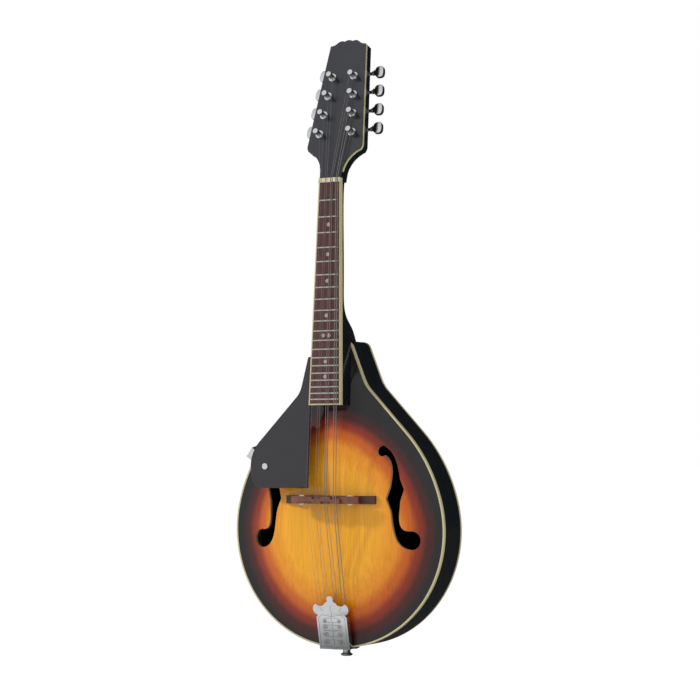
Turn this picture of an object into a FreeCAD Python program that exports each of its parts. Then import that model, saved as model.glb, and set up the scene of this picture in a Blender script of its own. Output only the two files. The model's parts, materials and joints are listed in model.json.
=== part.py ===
import FreeCAD, Part
import bisect
import math
import os
import Sketcher

# An eight-string, carved-top, teardrop mandolin standing on its tail: +Z runs up to the headstock,
# the strings face -Y, and the origin is where the end pin leaves the tail. Millimetres, degrees.

V = FreeCAD.Vector
X_AXIS, Y_AXIS, Z_AXIS = V(1, 0, 0), V(0, 1, 0), V(0, 0, 1)

SIZES = {
    # body
    "body_length": 340.0, "bout_radius": 130.0, "blend_angle": 12.0, "shoulder_radius": 172.0,
    "flank_angle": 47.0, "throat_angle": 68.5, "throat_radius": 40.0, "end_half_width": 16.6,
    "end_radius": 10.0, "rim_depth": 46.0, "pin_setback": 20.0, "rib_thickness": 2.4,
    "top_thickness": 4.0, "back_thickness": 3.6, "top_crown": 15.5, "back_crown": 13.0,
    "arch_share": 0.65, "arch_centre": 140.0, "binding_width": 1.8, "back_binding_depth": 3.6,
    "lining_width": 5.0, "lining_depth": 9.0, "glue_line": 0.05, "seat_gap": 0.1, "gap": 0.3,
    "block_half_width": 26.0, "neck_block_length": 42.0, "tail_block_length": 20.0,
    "bar_width": 7.0, "bar_depth": 9.0, "bar_length": 190.0, "bar_spread": 38.0, "bar_bottom": 62.0,
    # sound holes, measured from the bridge line
    "eye_upper_x": 58.0, "eye_upper_rise": 53.6, "eye_upper_radius": 5.9,
    "eye_lower_x": 93.0, "eye_lower_drop": 44.0, "eye_lower_radius": 10.3,
    # neck and headstock
    "scale_length": 352.0, "neck_clear": 175.6, "nut_front": 17.0, "neck_angle": 3.2,
    "nut_length": 5.0, "nut_crest": 4.4, "nut_rise": 1.9, "nut_width": 27.0, "board_end_width": 39.5,
    "board_length": 247.5, "board_thickness": 5.5, "side_strip": 1.5, "fret_count": 20.0,
    "fret_width": 2.1, "fret_rise": 1.0, "tang_width": 0.6, "tang_depth": 1.5, "dot_radius": 2.2,
    "dot_depth": 1.0, "dot_spread": 7.0, "neck_depth": 12.5, "heel_reach": 63.0, "heel_start": 132.0,
    "neck_half_at_heel": 16.5, "rod_width": 4.0, "rod_depth": 6.0, "rod_length": 150.0,
    "head_angle": 12.8, "face_drop": 1.5, "head_thickness": 14.0, "head_length": 162.0,
    "head_top_half": 22.2, "head_corner_half": 34.4, "head_corner_level": 37.0,
    "head_throat_radius": 31.0, "head_throat_level": 5.0, "veneer": 1.2, "head_binding_width": 1.5,
    "head_binding_depth": 3.4,
    # tuning machines, placed along the slanting sides of the headstock
    "post_inset": 12.6, "post_first": 53.3, "post_pitch": 22.9, "post_radius": 3.0,
    "post_waist": 2.4, "post_height": 12.0, "wrap_height": 6.6, "bushing_radius": 4.6,
    "bushing_rise": 1.8, "sleeve_radius": 3.9, "sleeve_length": 9.0, "fit": 0.05,
    "plate_half_width": 7.6, "plate_thickness": 1.2, "gear_radius": 5.9, "gear_width": 3.4,
    "gear_lift": 1.8, "gear_teeth": 15.0, "worm_rise": 9.4, "worm_radius": 3.1, "worm_length": 9.0,
    "shaft_radius": 1.9, "tab_thickness": 1.4, "tab_reach": 6.6, "button_start": 16.0,
    "button_length": 12.6, "button_height": 16.6, "button_thickness": 6.2, "button_collar": 2.6,
    # bridge
    "base_length": 110.0, "base_depth": 9.0, "base_rise": 6.0, "base_tip": 2.6, "stud_spacing": 60.0,
    "stud_radius": 1.5, "wheel_radius": 5.75, "wheel_width": 2.6, "wheel_gap": 4.8,
    "saddle_length": 83.0, "saddle_depth": 8.0, "string_rise": 4.0, "string_lift": 0.9,
    "crest_rise": 2.6, "stud_reach": 3.4, "saddle_bore": 6.2,
    # tailpiece and end pin
    "cover_front": 8.2, "cover_drop": 1.0, "cover_slope": 12.6, "cover_half_width": 18.8,
    "cover_length": 61.0, "cover_wall": 1.0, "cover_side": 5.6, "cover_lip": 3.7, "tail_half_width": 16.4,
    "tail_plate_length": 46.0, "tail_plate": 1.2, "tail_plate_depth": 5.4, "hook_radius": 1.1,
    "hook_height": 3.6, "strap_half_width": 13.0, "strap_reach": 29.0, "string_level": 3.7,
    "pin_shank": 3.4, "pin_neck": 4.2, "pin_head": 6.5, "pin_length": 8.6, "pin_shank_length": 18.0,
    "screw_radius": 1.4, "screw_head": 2.6,
    # pickguard and its clamp
    "guard_depth": 3.5, "guard_thickness": 2.5, "guard_inset": 8.0, "guard_reach": 93.8,
    "guard_bottom": 177.0, "guard_top": 322.0, "guard_screw_x": 74.6, "guard_screw_level": 201.0,
    "clamp_width": 12.0, "clamp_thickness": 1.4,
    # strings: spacing at the nut, bridge and tailpiece, then the four gauges
    "nut_course": 6.7, "nut_pair": 2.0, "bridge_course": 11.5, "bridge_pair": 3.0,
    "tail_spacing": 4.2, "nut_action": 1.6, "gauge_e": 0.28, "gauge_a": 0.4, "gauge_d": 0.66,
    "gauge_g": 0.96,
}

doc = FreeCAD.newDocument("mandolin")
sheet = doc.addObject("Spreadsheet::Sheet", "dims")
for row, (alias, number) in enumerate(SIZES.items(), 1):
    sheet.set(f"A{row}", alias)
    sheet.set(f"B{row}", str(number))
    sheet.setAlias(f"B{row}", alias)
doc.recompute()

nodes = []


# ---------------------------------------------------------------- helpers

def ref(formula):
    """Turn {name} into a reference to that cell of the sheet."""
    return formula.replace("{", "dims.").replace("}", "")


def value(formula):
    """The number that a formula of sheet cells gives."""
    return float(sheet.evalExpression(ref(formula)))


def node(name, item, frame=None):
    """Register a finished sub-part under its own label, standing in a named frame if given."""
    item.Label = name
    if frame:
        item.setExpression("Placement", f"{frame}.Placement")
    nodes.append(item)
    return item


def frame(name, place, turn="0", axis="1; 0; 0", parent=None):
    """A coordinate frame bound to the sheet, standing in a parent frame if given."""
    item = doc.addObject("App::Placement", name)
    formula = ref(f"placement(vector({place}); rotation(vector({axis}); {turn}))")
    if parent:
        formula = f"{parent}.Placement * {formula}"
    item.setExpression("Placement", formula)
    doc.recompute()
    return item


def solid(kind, name, sizes, at=("0", "0", "0"), axis=None, angle=0):
    """A Part primitive with its sizes and its place bound to the sheet."""
    item = doc.addObject(f"Part::{kind}", name)
    for key, formula in sizes.items():
        item.setExpression(key, ref(formula))
    if axis:
        item.Placement = FreeCAD.Placement(V(), FreeCAD.Rotation(axis, angle))
    for key, formula in zip("xyz", at):
        item.setExpression(f"Placement.Base.{key}", ref(formula))
    return item


def box(name, low, high):
    """A block given by the formulas of its two opposite corners."""
    sizes = {key: f"({b}) - ({a})" for key, a, b in zip(("Length", "Width", "Height"), low, high)}
    return solid("Box", name, sizes, low)


def rod(name, radius, length, at, along=Y_AXIS):
    """A cylinder that starts at a point and runs along a main axis."""
    turns = {"x": (Y_AXIS, 90), "y": (X_AXIS, -90), "z": (None, 0)}
    key = "xyz"[max(range(3), key=lambda i: abs(along[i]))]
    axis, angle = turns[key]
    return solid("Cylinder", name, {"Radius": radius, "Height": length}, at, axis, angle)


def cut(name, base, tool):
    item = doc.addObject("Part::Cut", name)
    item.Base, item.Tool = base, tool
    return item


def common(name, base, tool):
    item = doc.addObject("Part::Common", name)
    item.Base, item.Tool = base, tool
    return item


def fuse(name, shapes):
    item = doc.addObject("Part::MultiFuse", name)
    item.Shapes = shapes
    item.Refine = True
    return item


def group(name, links):
    item = doc.addObject("Part::Compound", name)
    item.Links = links
    return item


def drawn(name, shape):
    """A profile, path or skin drawn from the sheet's values."""
    item = doc.addObject("Part::Feature", name)
    item.Shape = shape
    return item


def extrude(name, base, length, direction=Y_AXIS, start="0", both=False):
    """A profile made solid along one main axis, from a start to a bound length."""
    item = doc.addObject("Part::Extrusion", name)
    item.Base = base
    item.DirMode = "Custom"
    item.Dir = direction
    item.Solid = True
    item.Symmetric = both
    item.setExpression("LengthFwd", ref(length))
    key = "xyz"[max(range(3), key=lambda i: abs(direction[i]))]
    item.setExpression(f"Placement.Base.{key}", ref(start))
    return item


def sketched(name, plane, corners, length, both=False, away=False):
    """A PartDesign body: a polygon whose corners are bound to the sheet, padded."""
    body = doc.addObject("PartDesign::Body", name)
    sketch = body.newObject("Sketcher::SketchObject", f"{name}_sketch")
    support = [item for item in body.Origin.OriginFeatures if item.Role == plane][0]
    sketch.AttachmentSupport = (support, [""])
    sketch.MapMode = "FlatFace"
    points = [tuple(value(formula) for formula in corner) for corner in corners]
    count = len(points)
    for here in range(count):
        a, b = points[here], points[(here + 1) % count]
        sketch.addGeometry(Part.LineSegment(V(a[0], a[1], 0), V(b[0], b[1], 0)))
    for here in range(count):
        sketch.addConstraint(Sketcher.Constraint("Coincident", here, 2, (here + 1) % count, 1))
    for here in range(count):
        for kind, formula, number in zip(("DistanceX", "DistanceY"), corners[here], points[here]):
            rule = sketch.addConstraint(Sketcher.Constraint(kind, -1, 1, here, 1, number))
            sketch.setExpression(f"Constraints[{rule}]", ref(formula))
    pad = body.newObject("PartDesign::Pad", f"{name}_pad")
    pad.Profile = (sketch, [""])
    pad.setExpression("Length", ref(length))
    pad.Midplane = both
    pad.Reversed = away
    return body


def turned(name, corners):
    """A PartDesign body turned about Z from a half profile of (radius, height) formulas."""
    body = sketched(name, "XZ_Plane", corners, "1")
    sketch = doc.getObject(f"{name}_sketch")
    body.removeObject(doc.getObject(f"{name}_pad"))
    doc.removeObject(f"{name}_pad")
    spin = body.newObject("PartDesign::Revolution", f"{name}_turn")
    spin.Profile = (sketch, [""])
    spin.ReferenceAxis = (sketch, ["V_Axis"])
    spin.Angle = 360
    body.Tip = spin
    return body


def rounded_path(points, radii):
    """Straight runs joined by tangent arcs, one radius for each inner point."""
    edges = []
    last = points[0]
    for before, corner, after, radius in zip(points, points[1:], points[2:], radii):
        toward, away = (before - corner).normalize(), (after - corner).normalize()
        half = toward.getAngle(away) / 2
        reach = radius / math.tan(half)
        start, end = corner + toward * reach, corner + away * reach
        bisector = (toward + away).normalize()
        middle = corner + bisector * (radius / math.sin(half) - radius)
        if (start - last).Length > 1e-6:
            edges.append(Part.LineSegment(last, start).toShape())
        edges.append(Part.Arc(start, middle, end).toShape())
        last = end
    edges.append(Part.LineSegment(last, points[-1]).toShape())
    return edges


def mirrored(points):
    return [V(-p.x, p.y, p.z) for p in points]


def symmetric_wire(runs, middle_runs):
    """A closed outline from right-hand runs, their mirror images and the runs that cross the middle.

    A run of two points is a line, and a run of three is an arc."""
    edges = []
    for run in runs + [mirrored(run) for run in runs] + middle_runs:
        curve = Part.LineSegment(*run) if len(run) == 2 else Part.Arc(*run)
        edges.append(curve.toShape())
    return Part.Wire(Part.__sortEdges__(edges))


# ---------------------------------------------------------------- frames

frame("neck_frame", "0; -{pin_setback} - {nut_front}; {body_length} + {neck_clear}", "-{neck_angle}")
frame("head_frame", "0; {face_drop}; {nut_length}", "-{head_angle}", parent="neck_frame")
frame("bridge_frame",
      "0; -{pin_setback}; {body_length} + {neck_clear} - {scale_length} * cos({neck_angle})")
frame("tail_frame", "0; -{pin_setback} - {cover_front}; -{cover_drop}", "{cover_slope}")
bridge_level = value("{body_length} + {neck_clear} - {scale_length} * cos({neck_angle})")
strings_front = value("{nut_front} + {scale_length} * sin({neck_angle}) + {string_rise} * cos({neck_angle})")


# ---------------------------------------------------------------- body outline and arches

def body_outline(inset=0.0):
    """The teardrop outline, in the plane y = 0, moved inwards by an inset."""
    lower, upper = value("{bout_radius}"), value("{shoulder_radius}")
    blend, steep, throat = (math.radians(value(f"{{{key}}}")) for key in
                            ("blend_angle", "flank_angle", "throat_angle"))
    bout = V(0, 0, lower)
    shoulder = bout - V(math.cos(blend), 0, math.sin(blend)) * (upper - lower)
    leave = math.pi / 2 - steep
    joint = bout + V(math.cos(blend), 0, math.sin(blend)) * (lower - inset)
    middle = (blend + leave) / 2
    swell = shoulder + V(math.cos(middle), 0, math.sin(middle)) * (upper - inset)
    flank = shoulder + V(math.cos(leave), 0, math.sin(leave)) * (upper - inset)
    length = value("{body_length}")
    side = V(-math.cos(throat), 0, math.sin(throat))
    corner = V(value("{end_half_width}"), 0, length) - V(side.z, 0, -side.x) * inset
    end = corner + side * ((length - inset - corner.z) / side.z)
    run = V(-math.cos(steep), 0, math.sin(steep))
    gap = end - flank
    turn = flank + run * ((gap.x * side.z - gap.z * side.x) / (run.x * side.z - run.z * side.x))
    right = [flank, turn, end]
    path = right + mirrored(right)[::-1]
    throat_arc = value("{throat_radius}") + inset
    end_arc = max(value("{end_radius}") - inset, 1.0)
    edges = rounded_path(path, [throat_arc, end_arc, end_arc, throat_arc])
    left_joint, left_swell, left_flank = mirrored([joint, swell, flank])
    edges.append(Part.Arc(left_flank, left_swell, left_joint).toShape())
    edges.append(Part.Arc(left_joint, V(0, 0, inset), joint).toShape())
    edges.append(Part.Arc(joint, swell, flank).toShape())
    return Part.Wire(Part.__sortEdges__(edges))


def arch_skin(crown, plane, side):
    """A carved plate's skin: flat at the rim, rising smoothly to a level crown."""
    centre = value("{arch_centre}")
    polar = sorted((math.atan2(p.x, p.z - centre), math.hypot(p.x, p.z - centre))
                   for p in body_outline().discretize(720))
    angles = [angle for angle, reach in polar]
    step = 10.0
    half = step * math.ceil((value("{bout_radius}") + step) / step)
    top = step * math.ceil((value("{body_length}") + step) / step)
    grid = []
    for column in range(int(2 * half / step) + 1):
        x = -half + column * step
        line = []
        for place in range(int(top / step) + 2):
            z = -step + place * step
            angle = math.atan2(x, z - centre)
            here = bisect.bisect(angles, angle) % len(polar)
            (low, near), (high, far) = polar[here - 1], polar[here]
            share = (angle - low) / (high - low) if high > low else 0.0
            reach = near + (far - near) * min(max(share, 0.0), 1.0)
            rise = (1 - math.hypot(x, z - centre) / reach) / value("{arch_share}")
            rise = min(max(rise, 0.0), 1.0)
            line.append(V(x, plane + side * crown * rise * rise * (3 - 2 * rise), z))
        grid.append(line)
    surface = Part.BSplineSurface()
    surface.interpolate(grid)
    return surface.toShape()


glue, seat = value("{glue_line}"), value("{seat_gap}")
rim_front = value("-{pin_setback}")
rim_back = value("{rim_depth} - {pin_setback}")
top_crown, back_crown = value("{top_crown}"), value("{back_crown}")
outlines = {}


def outline(inset_formula):
    """The body outline for an inset, drawn once."""
    if inset_formula not in outlines:
        item = drawn(f"outline_{len(outlines)}", body_outline(value(inset_formula)))
        outlines[inset_formula] = item
    return outlines[inset_formula]


def prism(name, inset, start, depth):
    return extrude(name, outline(inset), depth, Y_AXIS, start)


def ring(name, outer, inner, start, depth):
    return cut(name, prism(f"{name}_outer", outer, start, depth),
               prism(f"{name}_inner", inner, start, depth))


top_skin = drawn("top_skin", arch_skin(top_crown, rim_front, -1))
top_inside = drawn("top_inside", arch_skin(top_crown, rim_front + value("{top_thickness}") + seat, -1))
top_seat = drawn("top_seat", arch_skin(top_crown, rim_front - seat, -1))
back_skin = drawn("back_skin", arch_skin(back_crown, rim_back, 1))
back_inside = drawn("back_inside", arch_skin(back_crown, rim_back - value("{back_thickness}") - seat, 1))
under_top = extrude("under_top", top_inside, "{rim_depth} + {back_crown}")
over_back = extrude("over_back", back_inside, "{rim_depth} + {top_crown}", V(0, -1, 0))
top_mass = extrude("top_mass", top_seat, "{rim_depth}")
inner_room = common("inner_room", under_top, over_back)


# ---------------------------------------------------------------- sound box

def sound_hole(side):
    """One f-shaped hole: two round eyes joined by a curved stem with two nicks."""
    name = "left" if side < 0 else "right"
    upper_x, lower_x = value("{eye_upper_x}"), value("{eye_lower_x}")
    rise, drop = value("{eye_upper_rise}"), value("{eye_lower_drop}")
    small, large = value("{eye_upper_radius}"), value("{eye_lower_radius}")

    def curve(points):
        track = Part.BSplineCurve()
        track.interpolate([V(side * x, 0, bridge_level + z) for x, z in points])
        return track.toShape()

    outer_high = [(upper_x, rise + small), (upper_x + 10, rise - 0.6), (upper_x + 18.3, rise - 16),
                  (upper_x + 22, rise - 31)]
    outer_nick = (upper_x + 26.7, 11.3)
    outer_low = [(lower_x - 11.8, -1.4), (lower_x - 12.6, drop * -0.36), (lower_x - 9, 12.5 - drop),
                 (lower_x, large - drop)]
    inner_high = [(upper_x + 3.5, rise - 4.7), (upper_x + 10.6, rise - 15), (upper_x + 12, rise - 27),
                  (upper_x + 10.9, rise - 40)]
    inner_nick = (upper_x + 7.3, 1.0)
    inner_low = [(lower_x - 23, -10.4), (lower_x - 19.7, 13.6 - drop), (lower_x - 13.4, -3.6 - drop),
                 (lower_x, -large - drop)]

    def line(a, b):
        ends = [V(side * x, 0, bridge_level + z) for x, z in (a, b)]
        return Part.LineSegment(*ends).toShape()

    edges = [curve(outer_high), line(outer_high[-1], outer_nick), line(outer_nick, outer_low[0]),
             curve(outer_low), line(outer_low[-1], inner_low[-1]), curve(inner_low),
             line(inner_low[0], inner_nick), line(inner_nick, inner_high[-1]), curve(inner_high),
             line(inner_high[0], outer_high[0])]
    stem_line = drawn(f"stem_line_{name}", Part.Wire(Part.__sortEdges__(edges)))
    start, depth = "-{pin_setback} - {top_crown} - 5", "{top_crown} + {top_thickness} + 10"
    stem = extrude(f"stem_{name}", stem_line, depth, Y_AXIS, start)
    level = "{body_length} + {neck_clear} - {scale_length} * cos({neck_angle})"
    sign = "-" if side < 0 else ""
    upper = rod(f"eye_upper_{name}", "{eye_upper_radius}", depth,
                (f"{sign}{{eye_upper_x}}", start, f"{level} + {{eye_upper_rise}}"))
    lower = rod(f"eye_lower_{name}", "{eye_lower_radius}", depth,
                (f"{sign}{{eye_lower_x}}", start, f"{level} - {{eye_lower_drop}}"))
    return fuse(f"sound_hole_{name}", [stem, upper, lower])


def build_plates():
    inset = "{binding_width} + {glue_line}"
    slab = extrude("top_slab", top_skin, "{top_thickness}")
    footprint = prism("top_footprint", inset, "-{pin_setback} - {top_crown} - 5", "{rim_depth}")
    blank = common("top_blank", slab, footprint)
    holes = group("sound_holes", [sound_hole(-1), sound_hole(1)])
    node("soundboard", cut("soundboard", blank, holes))
    back_slab = extrude("back_slab", back_skin, "{back_thickness}", V(0, -1, 0))
    back_foot = prism("back_footprint", inset, "0", "{rim_depth} + {back_crown}")
    node("back_plate", common("back_plate", back_slab, back_foot))
    node("top_binding", ring("top_binding", "0", "{binding_width}", "-{pin_setback}",
                             "{top_thickness}"))
    node("back_binding", ring("back_binding", "0", "{binding_width}",
                              "{rim_depth} - {pin_setback} - {back_binding_depth}",
                              "{back_binding_depth}"))


def build_rim():
    start = "-{pin_setback} + {top_thickness} + {glue_line}"
    depth = "{rim_depth} - {top_thickness} - {back_binding_depth} - 2 * {glue_line}"
    wall = ring("rib_wall", "0", "{rib_thickness}", start, depth)
    pin_hole = rod("pin_hole", "{pin_shank} + {fit}", "60", ("0", "0", "-20"), Z_AXIS)
    open_wall = cut("rib_wall_bored", wall, pin_hole)
    reach, top = "2 * {bout_radius}", "{body_length} + 20"
    for name, low, high in (("rib_left", f"-{reach}", "-{glue_line} / 2"),
                            ("rib_right", "{glue_line} / 2", reach)):
        half = box(f"{name}_half", (low, "-100", "-20"), (high, "100", top))
        node(name, common(name, open_wall, half))
    inner = "{rib_thickness} + {glue_line}"
    neck_room = box("neck_block_room", ("-{block_half_width} - {glue_line}", "-100",
                                        "{body_length} - {neck_block_length} - {glue_line}"),
                    ("{block_half_width} + {glue_line}", "100", top))
    tail_room = box("tail_block_room", ("-{block_half_width} - {glue_line}", "-100", "-20"),
                    ("{block_half_width} + {glue_line}", "100", "{tail_block_length} + {glue_line}"))
    rooms = group("block_rooms", [neck_room, tail_room])
    for name, begin in (("top_lining", start),
                        ("back_lining", "{rim_depth} - {pin_setback} - {back_thickness}"
                                        " - {lining_depth} - {glue_line}")):
        band = ring(f"{name}_band", inner, "{rib_thickness} + {lining_width}", begin, "{lining_depth}")
        node(name, cut(name, band, rooms))
    for name, low, high in (("neck_block", "{body_length} - {neck_block_length}", top),
                            ("tail_block", "-20", "{tail_block_length}")):
        block = box(f"{name}_box", ("-{block_half_width}", "-100", low), ("{block_half_width}", "100", high))
        inside = common(f"{name}_inside", block, prism(f"{name}_foot", inner, "-80", "160"))
        fitted = common(f"{name}_fitted", inside, inner_room)
        node(name, cut(name, fitted, pin_hole) if name == "tail_block" else fitted)


def build_tone_bars():
    """Two spruce bars that follow the underside of the top."""
    layer = extrude("bar_layer", top_inside, "{bar_depth}")
    bars = []
    for name, sign in (("left", "-"), ("right", "")):
        middle = f"{sign}{{bar_spread}} / 2"
        strip = box(f"bar_{name}", (f"{middle} - {{bar_width}} / 2", "-60", "{bar_bottom}"),
                    (f"{middle} + {{bar_width}} / 2", "40", "{bar_bottom} + {bar_length}"))
        bars.append(common(f"tone_bar_{name}", layer, strip))
    node("tone_bars", group("tone_bars", bars))


# ---------------------------------------------------------------- neck, fretboard and nut

def board_half(distance):
    """Formula of half the fretboard's full width at a distance from the nut."""
    return f"({{nut_width}} + ({{board_end_width}} - {{nut_width}}) * ({distance}) / {{board_length}}) / 2"


def fret_place(number):
    """Formula of a fret's distance from the nut, by equal temperament."""
    return f"{{scale_length}} * (1 - 2 ^ (-({number}) / 12))"


def build_fretboard():
    strip = "{side_strip} + {glue_line}"
    end = f"-{{board_length}} + {strip}"
    blank = sketched("board_blank", "XZ_Plane",
                     ((f"-{{nut_width}} / 2 + {strip}", "0"), (f"{{nut_width}} / 2 - ({strip})", "0"),
                      (f"{{board_end_width}} / 2 - ({strip})", end),
                      (f"-{{board_end_width}} / 2 + {strip}", end)), "{board_thickness}", away=True)
    cuts, wires, dots = [], [], []
    for number in range(1, int(value("{fret_count}")) + 1):
        place = fret_place(number)
        half = f"{board_half(place)} - {strip} - {{glue_line}}"
        level = -value(place)
        wide, rise = value("{fret_width}") / 2, value("{fret_rise}")
        crown = Part.Arc(V(0, 0, level - wide), V(0, -rise, level), V(0, 0, level + wide)).toShape()
        foot = Part.LineSegment(V(0, 0, level + wide), V(0, 0, level - wide)).toShape()
        profile = drawn(f"fret_profile_{number}", Part.Wire([crown, foot]))
        bead = extrude(f"fret_bead_{number}", profile, f"2 * ({half})", X_AXIS, both=True)
        tang_low = (f"-({half})", "0", f"-({place}) - {{tang_width}} / 2")
        tang_high = (half, "{tang_depth}", f"-({place}) + {{tang_width}} / 2")
        tang = box(f"fret_tang_{number}", tang_low, tang_high)
        wires.append(fuse(f"fret_{number}", [bead, tang]))
        slot = "{tang_width} / 2 + {glue_line}"
        cuts.append(box(f"fret_slot_{number}",
                        (f"-({half}) - 3", "-1", f"-({place}) - ({slot})"),
                        (f"{half} + 3", "{tang_depth} + {glue_line}", f"-({place}) + {slot}")))
    for number in (3, 5, 7, 10, 12, 15, 17):
        middle = f"-({fret_place(number)} + {fret_place(number - 1)}) / 2"
        for offset in (("-{dot_spread} / 2", "{dot_spread} / 2") if number == 12 else ("0",)):
            tag = len(dots)
            dots.append(rod(f"dot_{tag}", "{dot_radius}", "{dot_depth}", (offset, "0", middle)))
            cuts.append(rod(f"dot_seat_{tag}", "{dot_radius} + {glue_line}",
                            "{dot_depth} + {glue_line} + 1", (offset, "-1", middle)))
    node("fretboard", cut("fretboard", blank, group("board_cuts", cuts)), "neck_frame")
    node("frets", group("frets", wires), "neck_frame")
    node("position_dots", group("position_dots", dots), "neck_frame")
    outer = sketched("strip_outer", "XZ_Plane",
                     (("-{nut_width} / 2", "0"), ("{nut_width} / 2", "0"),
                      ("{board_end_width} / 2", "-{board_length}"),
                      ("-{board_end_width} / 2", "-{board_length}")), "{board_thickness}", away=True)
    rise = "{side_strip}"
    inner = sketched("strip_inner", "XZ_Plane",
                     ((f"-{{nut_width}} / 2 + {rise}", "1"), (f"{{nut_width}} / 2 - {rise}", "1"),
                      (f"{{board_end_width}} / 2 - {rise}", f"-{{board_length}} + {rise}"),
                      (f"-{{board_end_width}} / 2 + {rise}", f"-{{board_length}} + {rise}")),
                     "{board_thickness}", away=True)
    node("fretboard_binding", cut("fretboard_binding", outer, inner), "neck_frame")


def string_x(number, course, pair):
    """Formula of a string's place across the neck, for strings 0 to 7."""
    return f"{number // 2 - 1.5} * {course} + {number % 2 - 0.5} * {pair}"


def string_gauge(number):
    return ("{gauge_e}", "{gauge_a}", "{gauge_d}", "{gauge_g}")[number // 2]


def string_slot(name, number, place, crest, below, above, reach):
    """A slot that falls away from its crest on both sides, as the string over it does."""
    floor = crest + value(f"{string_gauge(number)} / 2") + 2 * value("{fit}")
    middle = value("{nut_crest}") if name == "nut" else 0.0
    points = [V(0, floor + below * reach, middle - reach), V(0, floor, middle),
              V(0, floor + above * reach, middle + reach), V(0, floor - 20, middle + reach),
              V(0, floor - 20, middle - reach)]
    profile = drawn(f"{name}_slot_line_{number}", Part.makePolygon(points + points[:1]))
    return extrude(f"{name}_slot_{number}", profile, f"{string_gauge(number)} + 8 * {{fit}}", X_AXIS,
                   place, both=True)


def build_nut():
    blank = sketched("nut_blank", "XY_Plane",
                     (("-{nut_width} / 2", "{board_thickness}"), ("{nut_width} / 2", "{board_thickness}"),
                      ("{nut_width} / 2", "-{nut_rise} + 0.8"), ("{nut_width} / 2 - 1.6", "-{nut_rise}"),
                      ("-{nut_width} / 2 + 1.6", "-{nut_rise}"), ("-{nut_width} / 2", "-{nut_rise} + 0.8")),
                     "{nut_length} - {glue_line}")
    slots = []
    for number in range(8):
        place = string_x(number, "{nut_course}", "{nut_pair}")
        slots.append(string_slot("nut", number, place, -value("{nut_action}"), 0.0,
                                 math.tan(math.radians(value("{head_angle}"))), 9.0))
    body = cut("nut", blank, group("nut_slots", slots))
    node("nut", body, "nut_frame")


def neck_section(distance, half, depth, power):
    """A flat-fronted, round-backed section of the neck at a distance below the nut."""
    front = value("{board_thickness}") + glue
    points = []
    for here in range(9):
        turn = math.pi * here / 8
        across, back = math.cos(turn), math.sin(turn)
        points.append(V(half * math.copysign(abs(across) ** (2 / power), across),
                        front + depth * back ** (2 / power), -distance))
    curve = Part.BSplineCurve()
    curve.interpolate(points)
    return Part.Wire([curve.toShape(), Part.LineSegment(points[-1], points[0]).toShape()])


def build_neck():
    """One piece of wood: shaft, heel and headstock core."""
    depth, reach = value("{neck_depth}"), value("{heel_reach}")
    heel, nut_half = value("{heel_start}"), value("{nut_width} / 2")
    end_half = value("{neck_half_at_heel}")
    foot = value("{neck_clear} / cos({neck_angle})") + 8
    stations = [(-value("{nut_length}") - 4, 0.0, 0.06, 3.6), (0.0, 0.0, 0.0, 2.6), (18.0, 0.05, 0.0, 2.2),
                (heel * 0.5, 0.5, 0.02, 2.1), (heel - 14, 0.92, 0.04, 2.1), (heel + 4, 0.95, 0.12, 2.0),
                (heel + 16, 1.0, 0.34, 1.9), (heel + 27, 1.0, 0.70, 1.9), (heel + 36, 1.0, 0.87, 1.9),
                (heel + 44, 1.0, 0.97, 1.95), (foot, 1.0, 1.04, 2.0)]
    sections = []
    for distance, widen, deepen, power in stations:
        half = nut_half + (end_half - nut_half) * widen
        sections.append(neck_section(distance, half, depth + (reach - depth) * deepen, power))
    shaft = drawn("neck_shaft", Part.makeLoft(sections, True))
    shaft.setExpression("Placement", "neck_frame.Placement")
    below = box("below_joint", ("-60", "-100", "0"), ("60", "120", "{body_length} + {glue_line}"))
    upper = cut("neck_trimmed", shaft, below)
    face = drawn("head_line", head_outline())
    slab = extrude("head_slab", face, "{head_thickness} - {veneer} - {glue_line}", Y_AXIS,
                   "{veneer} + {glue_line}")
    groove = cut("binding_groove", extrude("groove_outer", face, "{head_binding_depth} + 2 * {glue_line}",
                                           Y_AXIS, "{veneer}"),
                 extrude("groove_inner", drawn("groove_line", head_outline(
                     value("{head_binding_width} + {glue_line}"))), "{head_thickness}", Y_AXIS, "0"))
    core = cut("head_core", slab, groove)
    core.setExpression("Placement", "head_frame.Placement")
    whole = fuse("neck_whole", [upper, core])
    nut_room = box("nut_room", ("-40", "-30", "-6"),
                   ("40", "{board_thickness} + {glue_line}", "{nut_length} + {glue_line}"))
    nut_room.setExpression("Placement", ref("neck_frame.Placement * placement(vector(-40; -30; -6); "
                                            "rotation(vector(1; 0; 0); 0))"))
    bores = group("post_bores", [head_bore(number) for number in range(8)])
    channel = box("rod_channel", ("-{rod_width} / 2 - {glue_line}", "{board_thickness}",
                                  "-{rod_length} - 12 - {glue_line}"),
                  ("{rod_width} / 2 + {glue_line}", "{board_thickness} + {rod_depth} + 2 * {glue_line}",
                   "-12 + {glue_line}"))
    channel_cut = group("rod_channel_placed", [channel])
    channel_cut.setExpression("Placement", "neck_frame.Placement")
    tools = group("neck_tools", [nut_room, bores, channel_cut])
    node("neck", cut("neck", whole, tools))
    bar = box("neck_rod_bar", ("-{rod_width} / 2", "{board_thickness} + {glue_line}", "-{rod_length} - 12"),
              ("{rod_width} / 2", "{board_thickness} + {rod_depth}", "-12"))
    node("neck_rod", group("neck_rod", [bar]), "neck_frame")


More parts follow.
